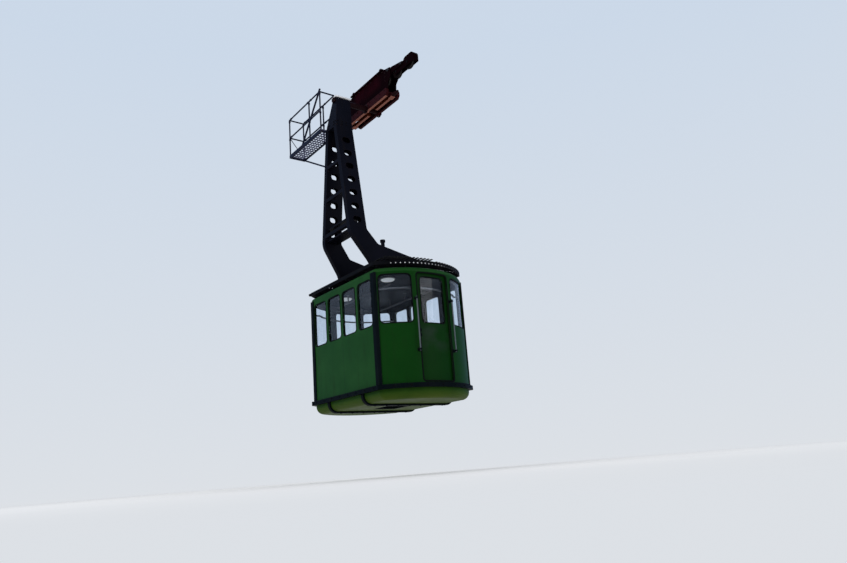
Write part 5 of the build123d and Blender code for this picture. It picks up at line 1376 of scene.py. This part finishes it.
class SetStudio(bpy.types.Operator):
    """Makes the camera, the floor, the lamps and the pale surroundings"""
    bl_idname = "cable_car.set_studio"
    bl_label = "Set up the studio"

    def execute(self, context):
        studio = context.scene.cable_car_studio
        self.make_camera(context, studio.lens)
        self.make_floor(studio.floor_level)
        self.make_lamps()
        self.make_surroundings(context, studio.ambient)
        context.scene.view_settings.view_transform = "Standard"
        return {"FINISHED"}

    def make_camera(self, context, lens):
        nothing_selected()
        bpy.ops.object.camera_add()
        camera = context.object
        camera.name = "camera"
        camera.data.sensor_width = 36.0
        camera.data.sensor_fit = "HORIZONTAL"
        camera.data.lens = lens
        camera.data.clip_end = 400.0
        camera.matrix_world = CAMERA_PLACE
        context.scene.camera = camera

    def make_floor(self, floor_level):
        nothing_selected()
        bpy.ops.mesh.primitive_circle_add(vertices=96, radius=FLOOR_RADIUS, fill_type="NGON",
                                          location=(0.0, 0.0, floor_level))
        floor = bpy.context.object
        floor.name = "studio_floor"
        settle(floor)
        material, tree, shader = start_material("studio_floor_paint")
        place, x, y, _ = object_axes(tree)
        tone = ranged(tree, noise(tree, place, 0.4, 3.0), 0.3, 0.7)
        feed(tree, shader, {
            "Base Color": mixed(tree, tone, (0.80, 0.82, 0.86, 1.0), (0.83, 0.85, 0.88, 1.0)),
            "Roughness": 0.95, "Specular IOR Level": 0.0})
        far = ranged(tree, distance(tree, x, y), HAZE_BEGINS, HAZE_FULL)
        path = add_node(tree, "ShaderNodeLightPath")
        haze = add_node(tree, "ShaderNodeEmission")
        feed(tree, haze, {"Color": opaque(HORIZON)})
        blend = add_node(tree, "ShaderNodeMixShader")
        feed(tree, blend, {0: product(tree, far, path.outputs["Is Camera Ray"]), 1: shader.outputs[0],
                           2: haze.outputs[0]})
        feed(tree, tree.nodes["Material Output"], {"Surface": blend.outputs[0]})
        floor.data.materials.append(material)

    def make_lamps(self):
        centre = Vector((0.0, 0.0, SUBJECT_MIDDLE_Z))
        for name, place, power in LAMPS:
            nothing_selected()
            bpy.ops.object.light_add(type="AREA", location=place)
            lamp = bpy.context.object
            lamp.name = name
            lamp.data.shape = "SQUARE"
            lamp.data.size = LAMP_SIZE
            lamp.data.energy = power
            lamp.rotation_euler = (centre - Vector(place)).to_track_quat("-Z", "Y").to_euler()

    def make_surroundings(self, context, ambient):
        """White light all around; camera rays see a pale sky and reflections a bluish one."""
        world = bpy.data.worlds.new("studio_world")
        context.scene.world = world
        world.use_nodes = True
        tree = world.node_tree
        light = tree.nodes["Background"]
        feed(tree, light, {"Color": (1.0, 1.0, 1.0, 1.0), "Strength": ambient})
        split = add_node(tree, "ShaderNodeSeparateXYZ")
        feed(tree, split, {0: add_node(tree, "ShaderNodeTexCoord").outputs["Generated"]})
        height = ranged(tree, split.outputs["Z"], -0.02, 0.55)
        seen = add_node(tree, "ShaderNodeBackground")
        feed(tree, seen, {"Color": mixed(tree, height, opaque(HORIZON), (0.60, 0.69, 0.81, 1.0)),
                          "Strength": 1.0})
        mirrored = add_node(tree, "ShaderNodeBackground")
        feed(tree, mirrored, {"Color": (0.30, 0.44, 0.72, 1.0)})
        rays = add_node(tree, "ShaderNodeLightPath").outputs
        reflected = add_node(tree, "ShaderNodeMixShader")
        feed(tree, reflected, {0: rays["Is Glossy Ray"], 1: light.outputs[0], 2: mirrored.outputs[0]})
        visible = math_node(tree, "MAXIMUM", rays["Is Camera Ray"], rays["Is Transmission Ray"])
        blend = add_node(tree, "ShaderNodeMixShader")
        feed(tree, blend, {0: visible, 1: reflected.outputs[0], 2: seen.outputs[0]})
        feed(tree, tree.nodes["World Output"], {"Surface": blend.outputs[0]})


class CableCarPanel(bpy.types.Panel):
    """Lists the cable car's operators and settings"""
    bl_idname = "VIEW3D_PT_cable_car"
    bl_label = "Cable car cabin"
    bl_space_type = "VIEW_3D"
    bl_region_type = "UI"
    bl_category = "Cable car"

    def draw(self, context):
        for kind in OPERATORS:
            self.layout.operator(kind.bl_idname)
        for settings in (context.scene.cable_car_colours, context.scene.cable_car_sizes,
                         context.scene.cable_car_studio):
            for name in settings.bl_rna.properties.keys():
                if name not in ("rna_type", "name"):
                    self.layout.prop(settings, name)


OPERATORS = (PaintFrame, FitWindowSeals, FitDoorSeals, FitLegCollars, BoltTheHanger, BoltTheCarriage,
             BoltTheWheels, ScrewTheDeck, ClipTheDeck, FitPlatformJoints, FitBumperBolts, FitCabinHardware,
             SetStudio)
SETTINGS = (CableCarColours, CableCarSizes, StudioSettings)


def register():
    for kind in SETTINGS + OPERATORS + (CableCarPanel,):
        bpy.utils.register_class(kind)
    bpy.types.Scene.cable_car_colours = bpy.props.PointerProperty(type=CableCarColours)
    bpy.types.Scene.cable_car_sizes = bpy.props.PointerProperty(type=CableCarSizes)
    bpy.types.Scene.cable_car_studio = bpy.props.PointerProperty(type=StudioSettings)


def unregister():
    del bpy.types.Scene.cable_car_colours
    del bpy.types.Scene.cable_car_sizes
    del bpy.types.Scene.cable_car_studio
    for kind in reversed(SETTINGS + OPERATORS + (CableCarPanel,)):
        bpy.utils.unregister_class(kind)


def main():
    register()
    for kind in OPERATORS:
        group, name = kind.bl_idname.split(".")
        getattr(getattr(bpy.ops, group), name)()


if __name__ == "__main__":
    main()
